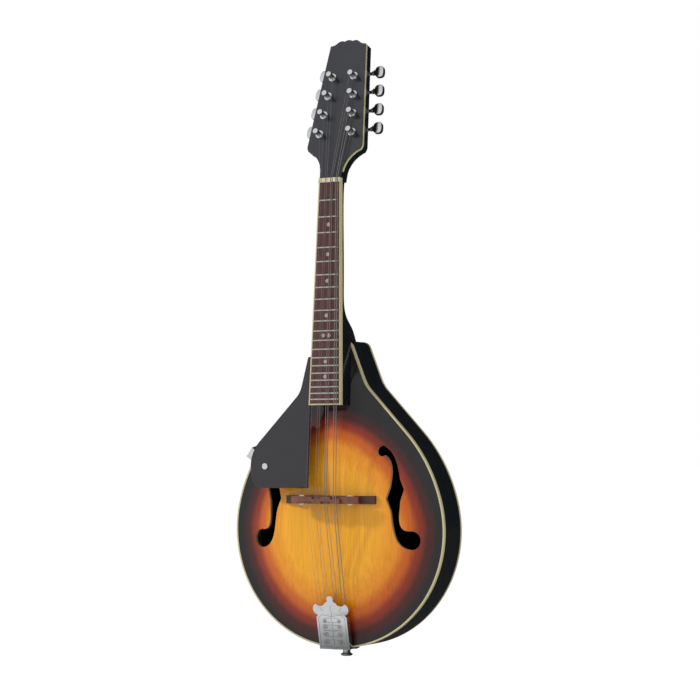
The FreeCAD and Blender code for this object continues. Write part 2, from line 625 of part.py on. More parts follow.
def build_riser():
    """The support that carries the fretboard's end over the top."""
    edge = "0.8"
    near, far = board_half("100"), board_half("{board_length} - 1")
    block = sketched("riser_block", "XZ_Plane",
                     ((f"-({near}) + {edge}", "-100"), (f"{near} - {edge}", "-100"),
                      (f"{far} - {edge}", "-{board_length} + 1"), (f"-({far}) + {edge}", "-{board_length} + 1")),
                     "60", away=True)
    placed = group("riser_placed", [block])
    placed.setExpression("Placement", ref("neck_frame.Placement * placement(vector(0; {board_thickness}"
                                          " + {glue_line}; 0); rotation(vector(1; 0; 0); 0))"))
    carved = cut("riser_carved", placed, top_mass)
    over_body = box("over_body", ("-60", "-120", "0"), ("60", "-{pin_setback}", "{body_length}"))
    node("fretboard_riser", common("fretboard_riser", carved, over_body))


# ---------------------------------------------------------------- headstock

def head_outline(inset=0.0):
    """The headstock's face outline: slanting sides, hollow throats and a lobed top."""
    top, half_top = value("{head_length}"), value("{head_top_half}")
    corner_half, corner = value("{head_corner_half}"), value("{head_corner_level}")
    throat, throat_level = value("{head_throat_radius}"), value("{head_throat_level}")
    neck_half = value("{nut_width} / 2")
    low = V(neck_half, 0, -1.0)
    start = V(neck_half, 0, throat_level)
    centre = V(neck_half + throat, 0, throat_level)
    angle = math.acos((centre.x - corner_half + 2.0) / throat)
    end = centre + V(-math.cos(angle), 0, math.sin(angle)) * throat
    middle = centre + V(-math.cos(angle / 2), 0, math.sin(angle / 2)) * throat
    ear = V(corner_half, 0, corner + 3.0)
    ear_middle = V(corner_half - 0.3, 0, corner)
    shoulder = V(half_top, 0, top)
    step, lobe_start = V(half_top - 5, 0, top + 0.9), V(half_top - 8.6, 0, top + 3.4)
    lobe, dip = V(half_top - 12.6, 0, top + 5.2), V(5.0, 0, top + 4.4)
    runs = [[low, start], [start, middle, end], [end, ear_middle, ear], [ear, shoulder],
            [shoulder, step, lobe_start], [lobe_start, lobe, dip]]
    crest = [V(-5.0, 0, dip.z), V(0, 0, top + 6.0), V(5.0, 0, dip.z)]
    wire = symmetric_wire(runs, [crest, [V(-low.x, 0, low.z), low]])
    return wire.makeOffset2D(-inset) if inset else wire


def side_slope():
    return "atan(({head_corner_half} - {head_top_half}) / ({head_length} - {head_corner_level} - 3))"


def post_place(number):
    """Formulas of a post's place on the face: 0 to 3 rise on the left, 4 to 7 on the right."""
    level = f"({{post_first}} + {number % 4} * {{post_pitch}})"
    half = f"({{head_top_half}} + ({{head_length}} - {level}) * tan({side_slope()}) - {{post_inset}})"
    return (f"-{half}" if number < 4 else half), level


def head_bore(number):
    across, level = post_place(number)
    item = rod(f"post_bore_{number}", "{sleeve_radius} + {glue_line}", "{head_thickness} + 20",
               ("0", "0", "0"))
    turn = "placement(vector(0; 0; 0); rotation(vector(1; 0; 0); -90))"
    item.setExpression("Placement", ref(f"head_frame.Placement * placement(vector({across}; -10; {level});"
                                        f" rotation(vector(0; 1; 0); 0)) * {turn}"))
    return item


def build_headstock():
    face = doc.getObject("head_line")
    veneer = extrude("veneer_slab", face, "{veneer}")
    trimmed = box("veneer_trim", ("-40", "-5", "-5"), ("40", "5", "{veneer} / 2"))
    holes = []
    for number in range(8):
        across, level = post_place(number)
        holes.append(rod(f"veneer_hole_{number}", "{sleeve_radius} + {glue_line}", "10",
                         (across, "-5", level)))
    tools = group("veneer_tools", [trimmed] + holes)
    node("headstock_veneer", cut("headstock_veneer", veneer, tools), "head_frame")
    strip = cut("head_strip", extrude("head_strip_outer", face, "{head_binding_depth}", Y_AXIS,
                                      "{veneer} + {glue_line}"),
                extrude("head_strip_inner", drawn("strip_line", head_outline(
                    value("{head_binding_width}"))), "{head_thickness}", Y_AXIS, "0"))
    trim = box("strip_trim", ("-40", "-5", "-10"), ("40", "40", "8"))
    node("headstock_binding", cut("headstock_binding", strip, trim), "head_frame")


# ---------------------------------------------------------------- tuning machines

def tuner_frames():
    slope = side_slope()
    for number in range(8):
        across, level = post_place(number)
        turn = slope if number < 4 else f"-({slope})"
        frame(f"tuner_{number}", f"{across}; 0; {level}", turn, "0; 1; 0", "head_frame")


def outward(number, low, high):
    """Put a pair of across-formulas on the side of the headstock where this machine sits."""
    if number < 4:
        return f"-({high})", f"-({low})"
    return low, high


def build_plate(name, numbers):
    """A long plate with two upright bearing tabs for each worm shaft."""
    first = numbers[0]
    spacing = f"{{post_pitch}} / cos({side_slope()})"
    back = "{head_thickness} + {glue_line}"
    behind = f"{back} + {{plate_thickness}}"
    axis_depth = f"{behind} + {{gear_lift}} + {{gear_width}} / 2"
    sheet_metal = box(f"{name}_sheet", ("-{plate_half_width}", back, "-12.5"),
                      ("{plate_half_width}", behind, f"3 * {spacing} + 19.5"))
    solids, holes = [sheet_metal], []
    for place, number in enumerate(numbers):
        rise = f"{place} * {spacing}"
        holes.append(rod(f"{name}_post_hole_{number}", "{post_radius} + 0.3", "{plate_thickness} + 6",
                         ("0", f"{back} - 3", rise)))
        for tag, near in (("in", "-{tab_reach}"), ("out", "{tab_reach} - {tab_thickness}")):
            solids.append(box(f"{name}_tab_{tag}_{number}",
                              (near, behind + " - 0.2", f"{rise} + {{worm_rise}} - 3.2"),
                              (f"{near} + {{tab_thickness}}", f"{axis_depth} + 3.4",
                               f"{rise} + {{worm_rise}} + 3.2")))
        holes.append(rod(f"{name}_shaft_hole_{number}", "{shaft_radius} + {fit}", "4 * {tab_reach}",
                         ("-2 * {tab_reach}", axis_depth, f"{rise} + {{worm_rise}}"), X_AXIS))
    screws = []
    for place in range(5):
        height = f"{place} * {spacing} - 8.2" if place < 4 else f"3 * {spacing} + 16.8"
        holes.append(rod(f"{name}_screw_hole_{place}", "{screw_radius} + {fit}", "{plate_thickness} + 6",
                         ("0", f"{back} - 3", height)))
        head = rod(f"{name}_screw_head_{place}", "1.9", "0.9", ("0", f"{behind} + {{glue_line}}", height))
        shank = rod(f"{name}_screw_shank_{place}", "{screw_radius}",
                    "{plate_thickness} + {glue_line} + 0.2",
                    ("0", f"{back} - 0.02", height))
        screws.append(fuse(f"{name}_screw_{place}", [head, shank]))
    metal = fuse(f"{name}_metal", solids)
    node(name, cut(name, metal, group(f"{name}_holes", holes)), f"tuner_{first}")
    placed = group(f"{name}_screws", screws)
    placed.setExpression("Placement", f"tuner_{first}.Placement")
    return placed


def build_bushing(number):
    """A flanged sleeve that the post turns in."""
    flange = rod(f"bushing_flange_{number}", "{bushing_radius}", "{bushing_rise}",
                 ("0", "-{bushing_rise} - {glue_line}", "0"))
    sleeve = rod(f"bushing_sleeve_{number}", "{sleeve_radius}", "{sleeve_length} + {bushing_rise}",
                 ("0", "-{bushing_rise} - {glue_line}", "0"))
    bore = rod(f"bushing_bore_{number}", "{post_radius} + {fit}", "{sleeve_length} + 20",
               ("0", "-10", "0"))
    body = cut(f"bushing_{number}", fuse(f"bushing_body_{number}", [flange, sleeve]), bore)
    body.setExpression("Placement", f"tuner_{number}.Placement")
    return body


def build_post(number):
    """The string post with its wheel and the screw that holds the wheel."""
    wheel_start = "{head_thickness} + 2 * {glue_line} + {plate_thickness} + {gear_lift}"
    shank = rod(f"post_shank_{number}", "{post_radius}", f"{wheel_start} + {{wrap_height}} - 2.4",
                ("0", "-{wrap_height} + 2.4", "0"))
    waist = rod(f"post_waist_{number}", "{post_waist}", "5.4", ("0", "-{wrap_height} - 2.6", "0"))
    cap = rod(f"post_cap_{number}", "{post_radius}", "{post_height} - {wrap_height} - 2.4",
              ("0", "-{post_height}", "0"))
    string_hole = rod(f"post_string_hole_{number}", "0.6", "4 * {post_waist}",
                      ("-2 * {post_waist}", "-{wrap_height} - 1.4", "0"), X_AXIS)
    disc = rod(f"gear_disc_{number}", "{gear_radius}", "{gear_width}", ("0", wheel_start, "0"))
    valleys = []
    teeth = int(value("{gear_teeth}"))
    for tooth in range(teeth):
        turn = f"{tooth} * 360 / {{gear_teeth}}"
        valley = rod(f"valley_{number}_{tooth}", "0.62", "{gear_width} + 2",
                     (f"({{gear_radius}} + 0.05) * cos({turn})", f"{wheel_start} - 1",
                      f"({{gear_radius}} + 0.05) * sin({turn})"))
        valleys.append(valley)
    wheel = cut(f"gear_{number}", disc, group(f"valleys_{number}", valleys))
    pinned = fuse(f"post_body_{number}", [shank, waist, cap, wheel])
    drilled = cut(f"post_drilled_{number}", pinned, string_hole)
    screw = rod(f"gear_screw_{number}", "2.3", "1.0",
                ("0", f"{wheel_start} + {{gear_width}} + {{glue_line}}", "0"))
    node(f"string_post_{number + 1}", group(f"string_post_{number + 1}", [drilled, screw]),
         f"tuner_{number}")


def build_key(number):
    """Worm, shaft and button: the piece that the player turns."""
    depth = "{head_thickness} + {glue_line} + {plate_thickness} + {gear_lift} + {gear_width} / 2"
    inner, outer = outward(number, "-{tab_reach} - 1.2", "{button_start} + 1")
    shaft = rod(f"key_shaft_{number}", "{shaft_radius}", f"({outer}) - ({inner})",
                (inner, depth, "{worm_rise}"), X_AXIS)
    half = "{tab_reach} - {tab_thickness} - {fit}"
    worm = rod(f"worm_{number}", "{worm_radius}", f"2 * ({half})", (f"-({half})", depth, "{worm_rise}"),
               X_AXIS)
    grooves = []
    for place in range(4):
        centre = f"{place - 1.5} * 2.3"
        band = rod(f"groove_band_{number}_{place}", "{worm_radius} + 1", "0.9",
                   (f"{centre} - 0.45", depth, "{worm_rise}"), X_AXIS)
        keep = rod(f"groove_core_{number}_{place}", "{worm_radius} - 0.8", "0.9",
                   (f"{centre} - 0.45", depth, "{worm_rise}"), X_AXIS)
        grooves.append(cut(f"groove_{number}_{place}", band, keep))
    screw = cut(f"worm_thread_{number}", worm, group(f"grooves_{number}", grooves))
    low, high = outward(number, "{tab_reach} + {fit}", "{tab_reach} + 1.4")
    collar = rod(f"key_collar_{number}", "{button_collar}", "1.4 - {fit}", (low, depth, "{worm_rise}"),
                 X_AXIS)
    stem_low, stem_high = outward(number, "{button_start} - 2.4", "{button_start} + 1")
    stem = rod(f"key_stem_{number}", "{button_collar}", f"({stem_high}) - ({stem_low})",
               (stem_low, depth, "{worm_rise}"), X_AXIS)
    middle = value("{button_start} + {button_length} / 2") * (-1 if number < 4 else 1)
    oval = Part.Ellipse(V(middle, 0, value("{button_height} / 2 + {worm_rise}")),
                        V(middle + value("{button_length} / 2"), 0, value("{worm_rise}")),
                        V(middle, 0, value("{worm_rise}")))
    paddle = extrude(f"key_paddle_{number}", drawn(f"paddle_line_{number}", Part.Wire([oval.toShape()])),
                     "{button_thickness}", Y_AXIS, f"{depth} - {{button_thickness}} / 2")
    node(f"tuner_key_{number + 1}",
         fuse(f"tuner_key_{number + 1}", [shaft, screw, collar, stem, paddle]), f"tuner_{number}")


# ---------------------------------------------------------------- bridge

def build_bridge():
    base_top = "-{top_crown} - {base_rise}"
    half, stud = "{base_length} / 2", "{stud_spacing} / 2"
    blank = sketched("base_blank", "XY_Plane",
                     ((f"-({half})", "-{top_crown} / 2"), (half, "-{top_crown} / 2"),
                      (half, f"{base_top} + 3.2"), (f"{stud} + 9", base_top), (f"-{stud} - 9", base_top),
                      (f"-({half})", f"{base_top} + 3.2")), "{base_depth}", both=True)
    placed = group("base_placed", [blank])
    placed.setExpression("Placement", "bridge_frame.Placement")
    wheel_front = f"{base_top} - {{wheel_gap}} - {{wheel_width}}"
    studs, sockets = [], []
    for name, sign in (("left", "-"), ("right", "")):
        place = f"{sign}{stud}"
        studs.append(rod(f"stud_{name}", "{stud_radius}", "{wheel_gap} + {wheel_width} + 3.6 + {stud_reach}",
                         (place, f"{wheel_front} - {{stud_reach}}", "0")))
        sockets.append(rod(f"stud_socket_{name}", "{stud_radius} + {glue_line}", "4.6",
                           (place, f"{base_top} - 1", "0")))
    cut_sockets = group("stud_sockets", sockets)
    cut_sockets.setExpression("Placement", "bridge_frame.Placement")
    tools = group("base_tools", [cut_sockets, top_mass])
    node("bridge_base", cut("bridge_base", placed, tools))
    node("bridge_studs", group("bridge_studs", studs), "bridge_frame")
    for name, sign in (("left", "-"), ("right", "")):
        place = f"{sign}{stud}"
        wheel = rod(f"wheel_{name}", "{wheel_radius}", "{wheel_width}", (place, wheel_front, "0"))
        bites = [rod(f"wheel_bore_{name}", "{stud_radius} + {fit}", "{wheel_width} + 4",
                     (place, f"{wheel_front} - 2", "0"))]
        for notch in range(20):
            turn = f"{notch} * 18"
            bites.append(rod(f"knurl_{name}_{notch}", "0.5", "{wheel_width} + 2",
                             (f"{place} + ({{wheel_radius}} + 0.15) * cos({turn})", f"{wheel_front} - 1",
                              f"({{wheel_radius}} + 0.15) * sin({turn})")))
        node(f"thumbwheel_{name}", cut(f"thumbwheel_{name}", wheel, group(f"wheel_cuts_{name}", bites)),
             "bridge_frame")
    build_saddle(f"{wheel_front} - {{fit}}")


def build_saddle(underside):
    """The compensated saddle: a bar with four stepped crests, a slot for each string."""
    half = "{saddle_length} / 2"
    body_top = f"-({strings_front - value('{gauge_g}') / 2}) + {{crest_rise}}"
    bar = sketched("saddle_bar", "XY_Plane",
                   ((f"-({half})", underside), (half, underside), (half, f"{underside} - 3.4"),
                    (f"{half} - 10", body_top), (f"-({half}) + 10", body_top),
                    (f"-({half})", f"{underside} - 3.4")), "{saddle_depth}", both=True)
    crest_top = f"-({strings_front - value('{gauge_g}') / 2}) - {{string_lift}} + 0.4"
    crests = []
    for course in range(4):
        middle = f"{course - 1.5} * {{bridge_course}}"
        shift = "-{saddle_depth} / 2 + 0.4" if course % 2 else "-{saddle_depth} / 2 + 2.6"
        crests.append(box(f"crest_{course}", (f"{middle} - {{bridge_course}} / 2", crest_top, shift),
                          (f"{middle} + {{bridge_course}} / 2", f"{body_top} + 0.5", f"{shift} + 5")))
    body = fuse("saddle_body", [bar] + crests)
    tools = []
    hook = doc.getObject("tail_frame").Placement.multVec(V(0, value("{string_level}"), 20))
    tail_fall = (strings_front + rim_front * -1 + hook.y) / (bridge_level - hook.z) + 0.01
    neck_fall = math.tan(math.radians(value("{neck_angle}"))) - 0.01
    for name, sign in (("left", "-"), ("right", "")):
        tools.append(rod(f"saddle_bore_{name}", "{stud_radius} + 2 * {fit}", "{saddle_bore} + 0.2",
                         (f"{sign}{{stud_spacing}} / 2", f"{underside} - {{saddle_bore}}", "0")))
    for number in range(8):
        place = string_x(number, "{bridge_course}", "{bridge_pair}")
        tools.append(string_slot("saddle", number, place, -strings_front, tail_fall, neck_fall, 9.0))
    node("saddle", cut("saddle", body, group("saddle_cuts", tools)), "bridge_frame")


# ---------------------------------------------------------------- tailpiece and end pin

def cover_outline():
    """Straight sides, two side ears and a pointed finial over a hollowed shoulder."""
    half, length = value("{cover_half_width}"), value("{cover_length}")
    ear_low, ear_high = length - 22.0, length - 9.0
    finial_half = 4.0
    right = [V(half, 0, 0), V(half, 0, ear_low - 2), V(half - 2.4, 0, ear_low)]
    ear_tip = V(half + 3.2, 0, (ear_low + ear_high) / 2 + 1.5)
    ear_end = V(half - 1.0, 0, ear_high)
    shoulder = V(finial_half + 3.0, 0, ear_high + 0.5)
    waist = V(finial_half - 0.4, 0, ear_high + 3.0)
    finial = V(finial_half, 0, length - 3.0)
    tip = V(0, 0, length)
    hollow = V((ear_end.x + shoulder.x) / 2, 0, ear_high - 2.6)
    runs = [right[:2], right[1:], [right[2], ear_tip, ear_end], [ear_end, hollow, shoulder],
            [shoulder, waist], [waist, finial]]
    crest = [V(-finial.x, 0, finial.z), tip, finial]
    return symmetric_wire(runs, [crest, [V(-right[0].x, 0, 0), right[0]]])


def build_tailpiece():
    face = extrude("cover_face", drawn("cover_line", cover_outline()), "{cover_wall}")
    side_length = "{cover_length} - 25"
    walls = [face]
    for name, low, high in (("left", "-{cover_half_width}", "-{cover_half_width} + {cover_wall}"),
                            ("right", "{cover_half_width} - {cover_wall}", "{cover_half_width}")):
        walls.append(box(f"cover_wall_{name}", (low, "{cover_wall} - 0.2", "0"),
                         (high, "{cover_wall} + {cover_side}", side_length)))
    walls.append(box("cover_end", ("-{cover_half_width}", "{cover_wall} - 0.2", "0"),
                     ("{cover_half_width}", "{cover_wall} + {cover_lip}", "{cover_wall}")))
    node("tailpiece_cover", fuse("tailpiece_cover", walls), "tail_frame")
    plate = box("tail_plate", ("-{strap_half_width}", "{tail_plate_depth}", "1.2"),
                ("{strap_half_width}", "{tail_plate_depth} + {tail_plate}", "{tail_plate_length}"))
    hooks = []
    for number in range(8):
        place = f"{number - 3.5} * {{tail_spacing}}"
        hooks.append(rod(f"hook_{number}", "{hook_radius}", "{hook_height} + 0.4",
                         (place, "{tail_plate_depth} - {hook_height}", hook_level(number))))
    wing = box("tail_wing", ("-{tail_half_width}", "{tail_plate_depth}", "12"),
               ("{tail_half_width}", "{tail_plate_depth} + {tail_plate}", "30"))
    upper = fuse("tail_upper", [plate, wing] + hooks)
    upper.setExpression("Placement", "tail_frame.Placement")
    front = ("-{pin_setback} - {cover_front} + {tail_plate_depth} * cos({cover_slope})"
             " - 1.2 * sin({cover_slope})")
    strap_top = "-4 * {glue_line}"
    strap_low = f"{strap_top} - {{tail_plate}}"
    strap = box("tail_strap", ("-{strap_half_width}", front, strap_low),
                ("{strap_half_width}", f"{front} + {{strap_reach}}", strap_top))
    bend = box("tail_bend", ("-{strap_half_width}", front, strap_low),
               ("{strap_half_width}", f"{front} + 1.2", "1.6"))
    solid_base = fuse("tail_solid", [upper, strap, bend])
    holes = [rod("strap_pin_hole", "{pin_shank} + {fit}", "20", ("0", "0", "-10"), Z_AXIS)]
    screws = []
    for tag, (across, back) in enumerate((("-8", "-12"), ("8", "-12"), ("-8", "4.6"), ("8", "4.6"))):
        holes.append(rod(f"strap_screw_hole_{tag}", "{screw_radius} + {fit}", "6", (across, back, "-5"),
                         Z_AXIS))
        head = rod(f"strap_screw_head_{tag}", "{screw_head}", "1.1",
                   (across, back, f"{strap_low} - 1.1 - {{glue_line}}"), Z_AXIS)
        shank = rod(f"strap_screw_shank_{tag}", "{screw_radius}", "{tail_plate} + {glue_line} + 0.3",
                    (across, back, f"{strap_low} - {{glue_line}} - 0.1"), Z_AXIS)
        screws.append(fuse(f"strap_screw_{tag}", [head, shank]))
    node("tailpiece_base", cut("tailpiece_base", solid_base, group("strap_holes", holes)))
    node("tailpiece_screws", group("tailpiece_screws", screws))
    flange_top = f"{strap_low} - {{glue_line}}"
    pin = turned("end_pin", (("0", "{pin_shank_length}"), ("{pin_shank}", "{pin_shank_length} - 1"),
                             ("{pin_shank}", flange_top), ("{pin_neck} + 1.4", flange_top),
                             ("{pin_neck} + 1.4", f"{flange_top} - 0.8"), ("{pin_neck}", f"{flange_top} - 1.3"),
                             ("{pin_neck}", f"{flange_top} - {{pin_length}} + 3.4"),
                             ("{pin_head}", f"{flange_top} - {{pin_length}} + 2.2"),
                             ("{pin_head}", f"{flange_top} - {{pin_length}} + 0.8"),
                             ("{pin_head} - 1.6", f"{flange_top} - {{pin_length}}"),
                             ("0", f"{flange_top} - {{pin_length}}")))
    node("end_pin", pin)


def hook_level(number):
    """Outer strings of the outer courses use the lower row, so each clears its neighbour's hook."""
    return "25" if (number % 2 == 1) == (number < 4) else "17"


# ---------------------------------------------------------------- pickguard

def build_pickguard():
    steep = math.radians(value("{flank_angle}"))
    lean = math.radians(value("{blend_angle}"))
    lower, upper = value("{bout_radius}"), value("{shoulder_radius}")
    centre = V(0, 0, lower) - V(math.cos(lean), 0, math.sin(lean)) * (upper - lower)
    flank = centre + V(math.sin(steep), 0, math.cos(steep)) * (upper - value("{guard_inset}"))
    run = V(-math.cos(steep), 0, math.sin(steep))
    reach, bottom, top = value("{guard_reach}"), value("{guard_bottom}"), value("{guard_top}")
    inner = value(board_half("{body_length} + {neck_clear} - {guard_top} + 60")) + value("{gap}")
    throat = 33.0
    corner = flank + run * ((flank.x - throat) / -run.x)
    shoulder = flank + run * ((flank.x - reach) / -run.x)
    points = [V(inner, 0, bottom), V(reach, 0, bottom), shoulder, corner, V(inner + 3.5, 0, top),
              V(inner, 0, top), V(inner, 0, bottom)]
    edges = rounded_path(mirrored(points), [17.0, 38.0, 26.0, 1.5, 0.5])
    shape = extrude("guard_prism", drawn("guard_line", Part.Wire(edges)), "120", Y_AXIS, "-110")
    slab = box("guard_slab", ("-140", "{guard_depth}", "-400"),
               ("0", "{guard_depth} + {guard_thickness}", "-100"))
    slab_placed = group("guard_slab_placed", [slab])
    slab_placed.setExpression("Placement", "neck_frame.Placement")
    blank = common("guard_blank", shape, slab_placed)
    screw_at = ("-{guard_screw_x}", "-100", "{guard_screw_level}")
    screw_hole = rod("guard_screw_hole", "{screw_radius} + {fit}", "90", screw_at)
    node("pickguard", cut("pickguard", blank, screw_hole))
    front = value("-{pin_setback} - {nut_front} + {guard_depth} / cos({neck_angle})"
                  " - ({body_length} + {neck_clear} - {guard_screw_level}) * tan({neck_angle})")
    thick = value("{guard_thickness} / cos({neck_angle})")
    head = rod("guard_screw_head", "3.4", "1.5", ("-{guard_screw_x}", f"{front - 1.5 - 0.22}",
                                                   "{guard_screw_level}"))
    shank = rod("guard_screw_shank", "{screw_radius}", "9", ("-{guard_screw_x}", f"{front - 0.4}",
                                                             "{guard_screw_level}"))
    slot = box("guard_screw_slot", ("-{guard_screw_x} - 4", f"{front - 3}", "{guard_screw_level} - 0.4"),
               ("-{guard_screw_x} + 4", f"{front - 1.2}", "{guard_screw_level} + 0.4"))
    node("pickguard_screw", cut("pickguard_screw", fuse("guard_screw_body", [head, shank]), slot))
    build_clamp(front + thick + 1.25, centre, upper)
    pins = []
    side = "{board_end_width} / 2 - 0.8 + {glue_line}"
    behind = "{guard_depth} + {guard_thickness}"
    for tag, down in (("upper", "200"), ("lower", "236")):
        pins.append(rod(f"guard_pin_{tag}", "1.0", "3.8", (f"-({side}) - 3.8", f"{behind} + 1.3", f"-{down}"),
                        X_AXIS))
        pins.append(box(f"guard_post_{tag}", (f"-({side}) - 4.8", f"{behind} + {{glue_line}}", f"-{down} - 2"),
                        (f"-({side}) - 2.8", f"{behind} + 2.5", f"-{down} + 2")))
    fused = [fuse("guard_mount_upper", pins[:2]), fuse("guard_mount_lower", pins[2:])]
    node("pickguard_pins", group("pickguard_pins", fused), "neck_frame")


def build_clamp(under, centre, upper):
    """A bent strip that holds the pickguard's edge and grips the rim, with its own screw."""
    screw = V(value("{guard_screw_x}"), 0, value("{guard_screw_level}"))
    away = (screw - centre).normalize()
    reach = upper - (screw - centre).Length
    turn = math.degrees(math.atan2(away.z, away.x))
    place = f"-{{guard_screw_x}}; 0; {{guard_screw_level}}"
    frame("clamp_frame", place, str(180 + turn), "0; 1; 0")
    thick = value("{clamp_thickness}")
    back = value("{rim_depth} - {pin_setback}") + 0.35
    beyond = reach + 0.35
    outer = [V(-6, under, 0), V(reach - 3.5, under, 0), V(beyond + thick, rim_front - 3.2, 0),
             V(beyond + thick, back + thick, 0), V(beyond - 7, back + thick, 0)]
    inner = [V(beyond - 7, back, 0), V(beyond, back, 0), V(beyond, rim_front - 2.9, 0),
             V(reach - 4.6, under + thick, 0), V(-6, under + thick, 0)]
    strip = Part.makePolygon(outer + inner + outer[:1])
    band = extrude("clamp_band", drawn("clamp_line", strip), "{clamp_width}", Z_AXIS,
                   "-{clamp_width} / 2")
    bore = rod("clamp_bore", "{screw_radius} + {fit}", "20", ("0", f"{under - 5}", "0"))
    grip_hole = rod("clamp_grip_bore", "{screw_radius} + {fit}", "20",
                    (f"{beyond - 10}", f"{(rim_front + back) / 2}", "0"), X_AXIS)
    node("pickguard_clamp", cut("pickguard_clamp", band, group("clamp_bores", [bore, grip_hole])),
         "clamp_frame")
    head = rod("grip_head", "2.8", "1.3", (f"{beyond + thick + glue}", f"{(rim_front + back) / 2}", "0"),
               X_AXIS)
    shank = rod("grip_shank", "{screw_radius}", f"{thick + glue + 0.2}",
                (f"{beyond + 0.1}", f"{(rim_front + back) / 2}", "0"), X_AXIS)
    node("clamp_screw", group("clamp_screw_placed", [fuse("clamp_screw_body", [head, shank])]),
         "clamp_frame")


# ---------------------------------------------------------------- strings

def wrap(centre, toward, prefer, radius):
    """Where a straight run from a point meets a round post: contact, its arm and run direction."""
    way = toward - centre
    distance = way.Length
    way = way.normalize()
    side = (prefer - way * prefer.dot(way)).normalize()
    share = radius / distance
    arm = way * share + side * math.sqrt(1 - share * share)
    contact = centre + arm * radius
    return contact, arm, (contact - toward).normalize()


def string_path(number):
    """The string's real route: round its hook, over saddle and nut, then round its post."""
    neck, head, tail = (doc.getObject(f"{key}_frame").Placement for key in ("neck", "head", "tail"))
    gauge = value(string_gauge(number))
    left = number < 4
    saddle = V(value(string_x(number, "{bridge_course}", "{bridge_pair}")),
               -value("{pin_setback}") - strings_front, bridge_level)
    nut = neck.multVec(V(value(string_x(number, "{nut_course}", "{nut_pair}")),
                         -value("{nut_action}"), value("{nut_crest}")))
    hook = tail.multVec(V((number - 3.5) * value("{tail_spacing}"), value("{string_level}"),
                          value(hook_level(number))))
    hook_arc = value("{hook_radius}") + gauge / 2 + 0.1
    post_number = number if left else 11 - number
    across, level = (value(formula) for formula in post_place(post_number))
    post = head.multVec(V(across, -value("{wrap_height}"), level))
    post_arc = value("{post_waist}") + gauge / 2 + 0.1
    start, arm, back = wrap(hook, saddle, V(-1 if left else 1, 0, 0), hook_arc)
    points = []
    for share in (-250, -125):
        turn = math.radians(share)
        points.append(hook + arm * (hook_arc * math.cos(turn)) - back * (hook_arc * math.sin(turn)))
    edges = [Part.Arc(points[0], points[1], start).toShape()]
    end, post_side, run = wrap(post, nut, V(1 if left else -1, 0, 0), post_arc)
    edges += rounded_path([start, saddle, nut, end], [6.0, 6.0])
    for share in (160, 320):
        turn = math.radians(share)
        points.append(post + post_side * (post_arc * math.cos(turn)) + run * (post_arc * math.sin(turn)))
    edges.append(Part.Arc(end, points[2], points[3]).toShape())
    return Part.Wire(edges)


def build_strings():
    for course, name in enumerate("eadg"):
        pair = []
        for number in (2 * course, 2 * course + 1):
            route = string_path(number)
            path = drawn(f"string_path_{number}", route)
            profile = doc.addObject("Part::Circle", f"string_profile_{number}")
            profile.setExpression("Radius", ref(f"{{gauge_{name}}} / 2"))
            first = route.OrderedEdges[0]
            profile.Placement = FreeCAD.Placement(first.valueAt(first.FirstParameter),
                                                  FreeCAD.Rotation(Z_AXIS, first.tangentAt(first.FirstParameter)))
            sweep = doc.addObject("Part::Sweep", f"string_{number}")
            sweep.Sections = [profile]
            sweep.Spine = (path, [])
            sweep.Solid = True
            pair.append(sweep)
        node(f"strings_{name}", group(f"strings_{name}", pair))


# ---------------------------------------------------------------- build, check and export

frame("nut_frame", "0; 0; 0", parent="neck_frame")
tuner_frames()
build_plates()
build_rim()
build_tone_bars()
build_fretboard()
build_nut()
build_neck()
build_riser()
build_headstock()
plate_screws = [build_plate("tuner_plate_left", (0, 1, 2, 3)), build_plate("tuner_plate_right", (4, 5, 6, 7))]
node("tuner_plate_screws", group("tuner_plate_screws", plate_screws))
node("tuner_bushings", group("tuner_bushings", [build_bushing(number) for number in range(8)]))
for machine in range(8):
    build_post(machine)
    build_key(machine)
build_bridge()
build_tailpiece()
build_pickguard()
build_strings()

doc.recompute()
faults = [item.Name for item in doc.Objects if {"Invalid", "Error"} & set(item.State)]
for item in nodes:
    if item.Shape.isNull() or not item.Shape.isValid() or not item.Shape.Solids:
        faults.append(f"{item.Label} has no valid solid")
if faults:
    raise RuntimeError("; ".join(faults))
os.makedirs("parts", exist_ok=True)
for item in nodes:
    item.Shape.exportStep(f"parts/{item.Label}.step")
print(len(nodes), "nodes,", sum(len(item.Shape.Solids) for item in nodes), "solids")
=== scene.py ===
"""Carved-top mandolin: finishes and fine pieces around its packed construction, run as a script."""
import json
import math

import bpy
from mathutils import Matrix, Vector


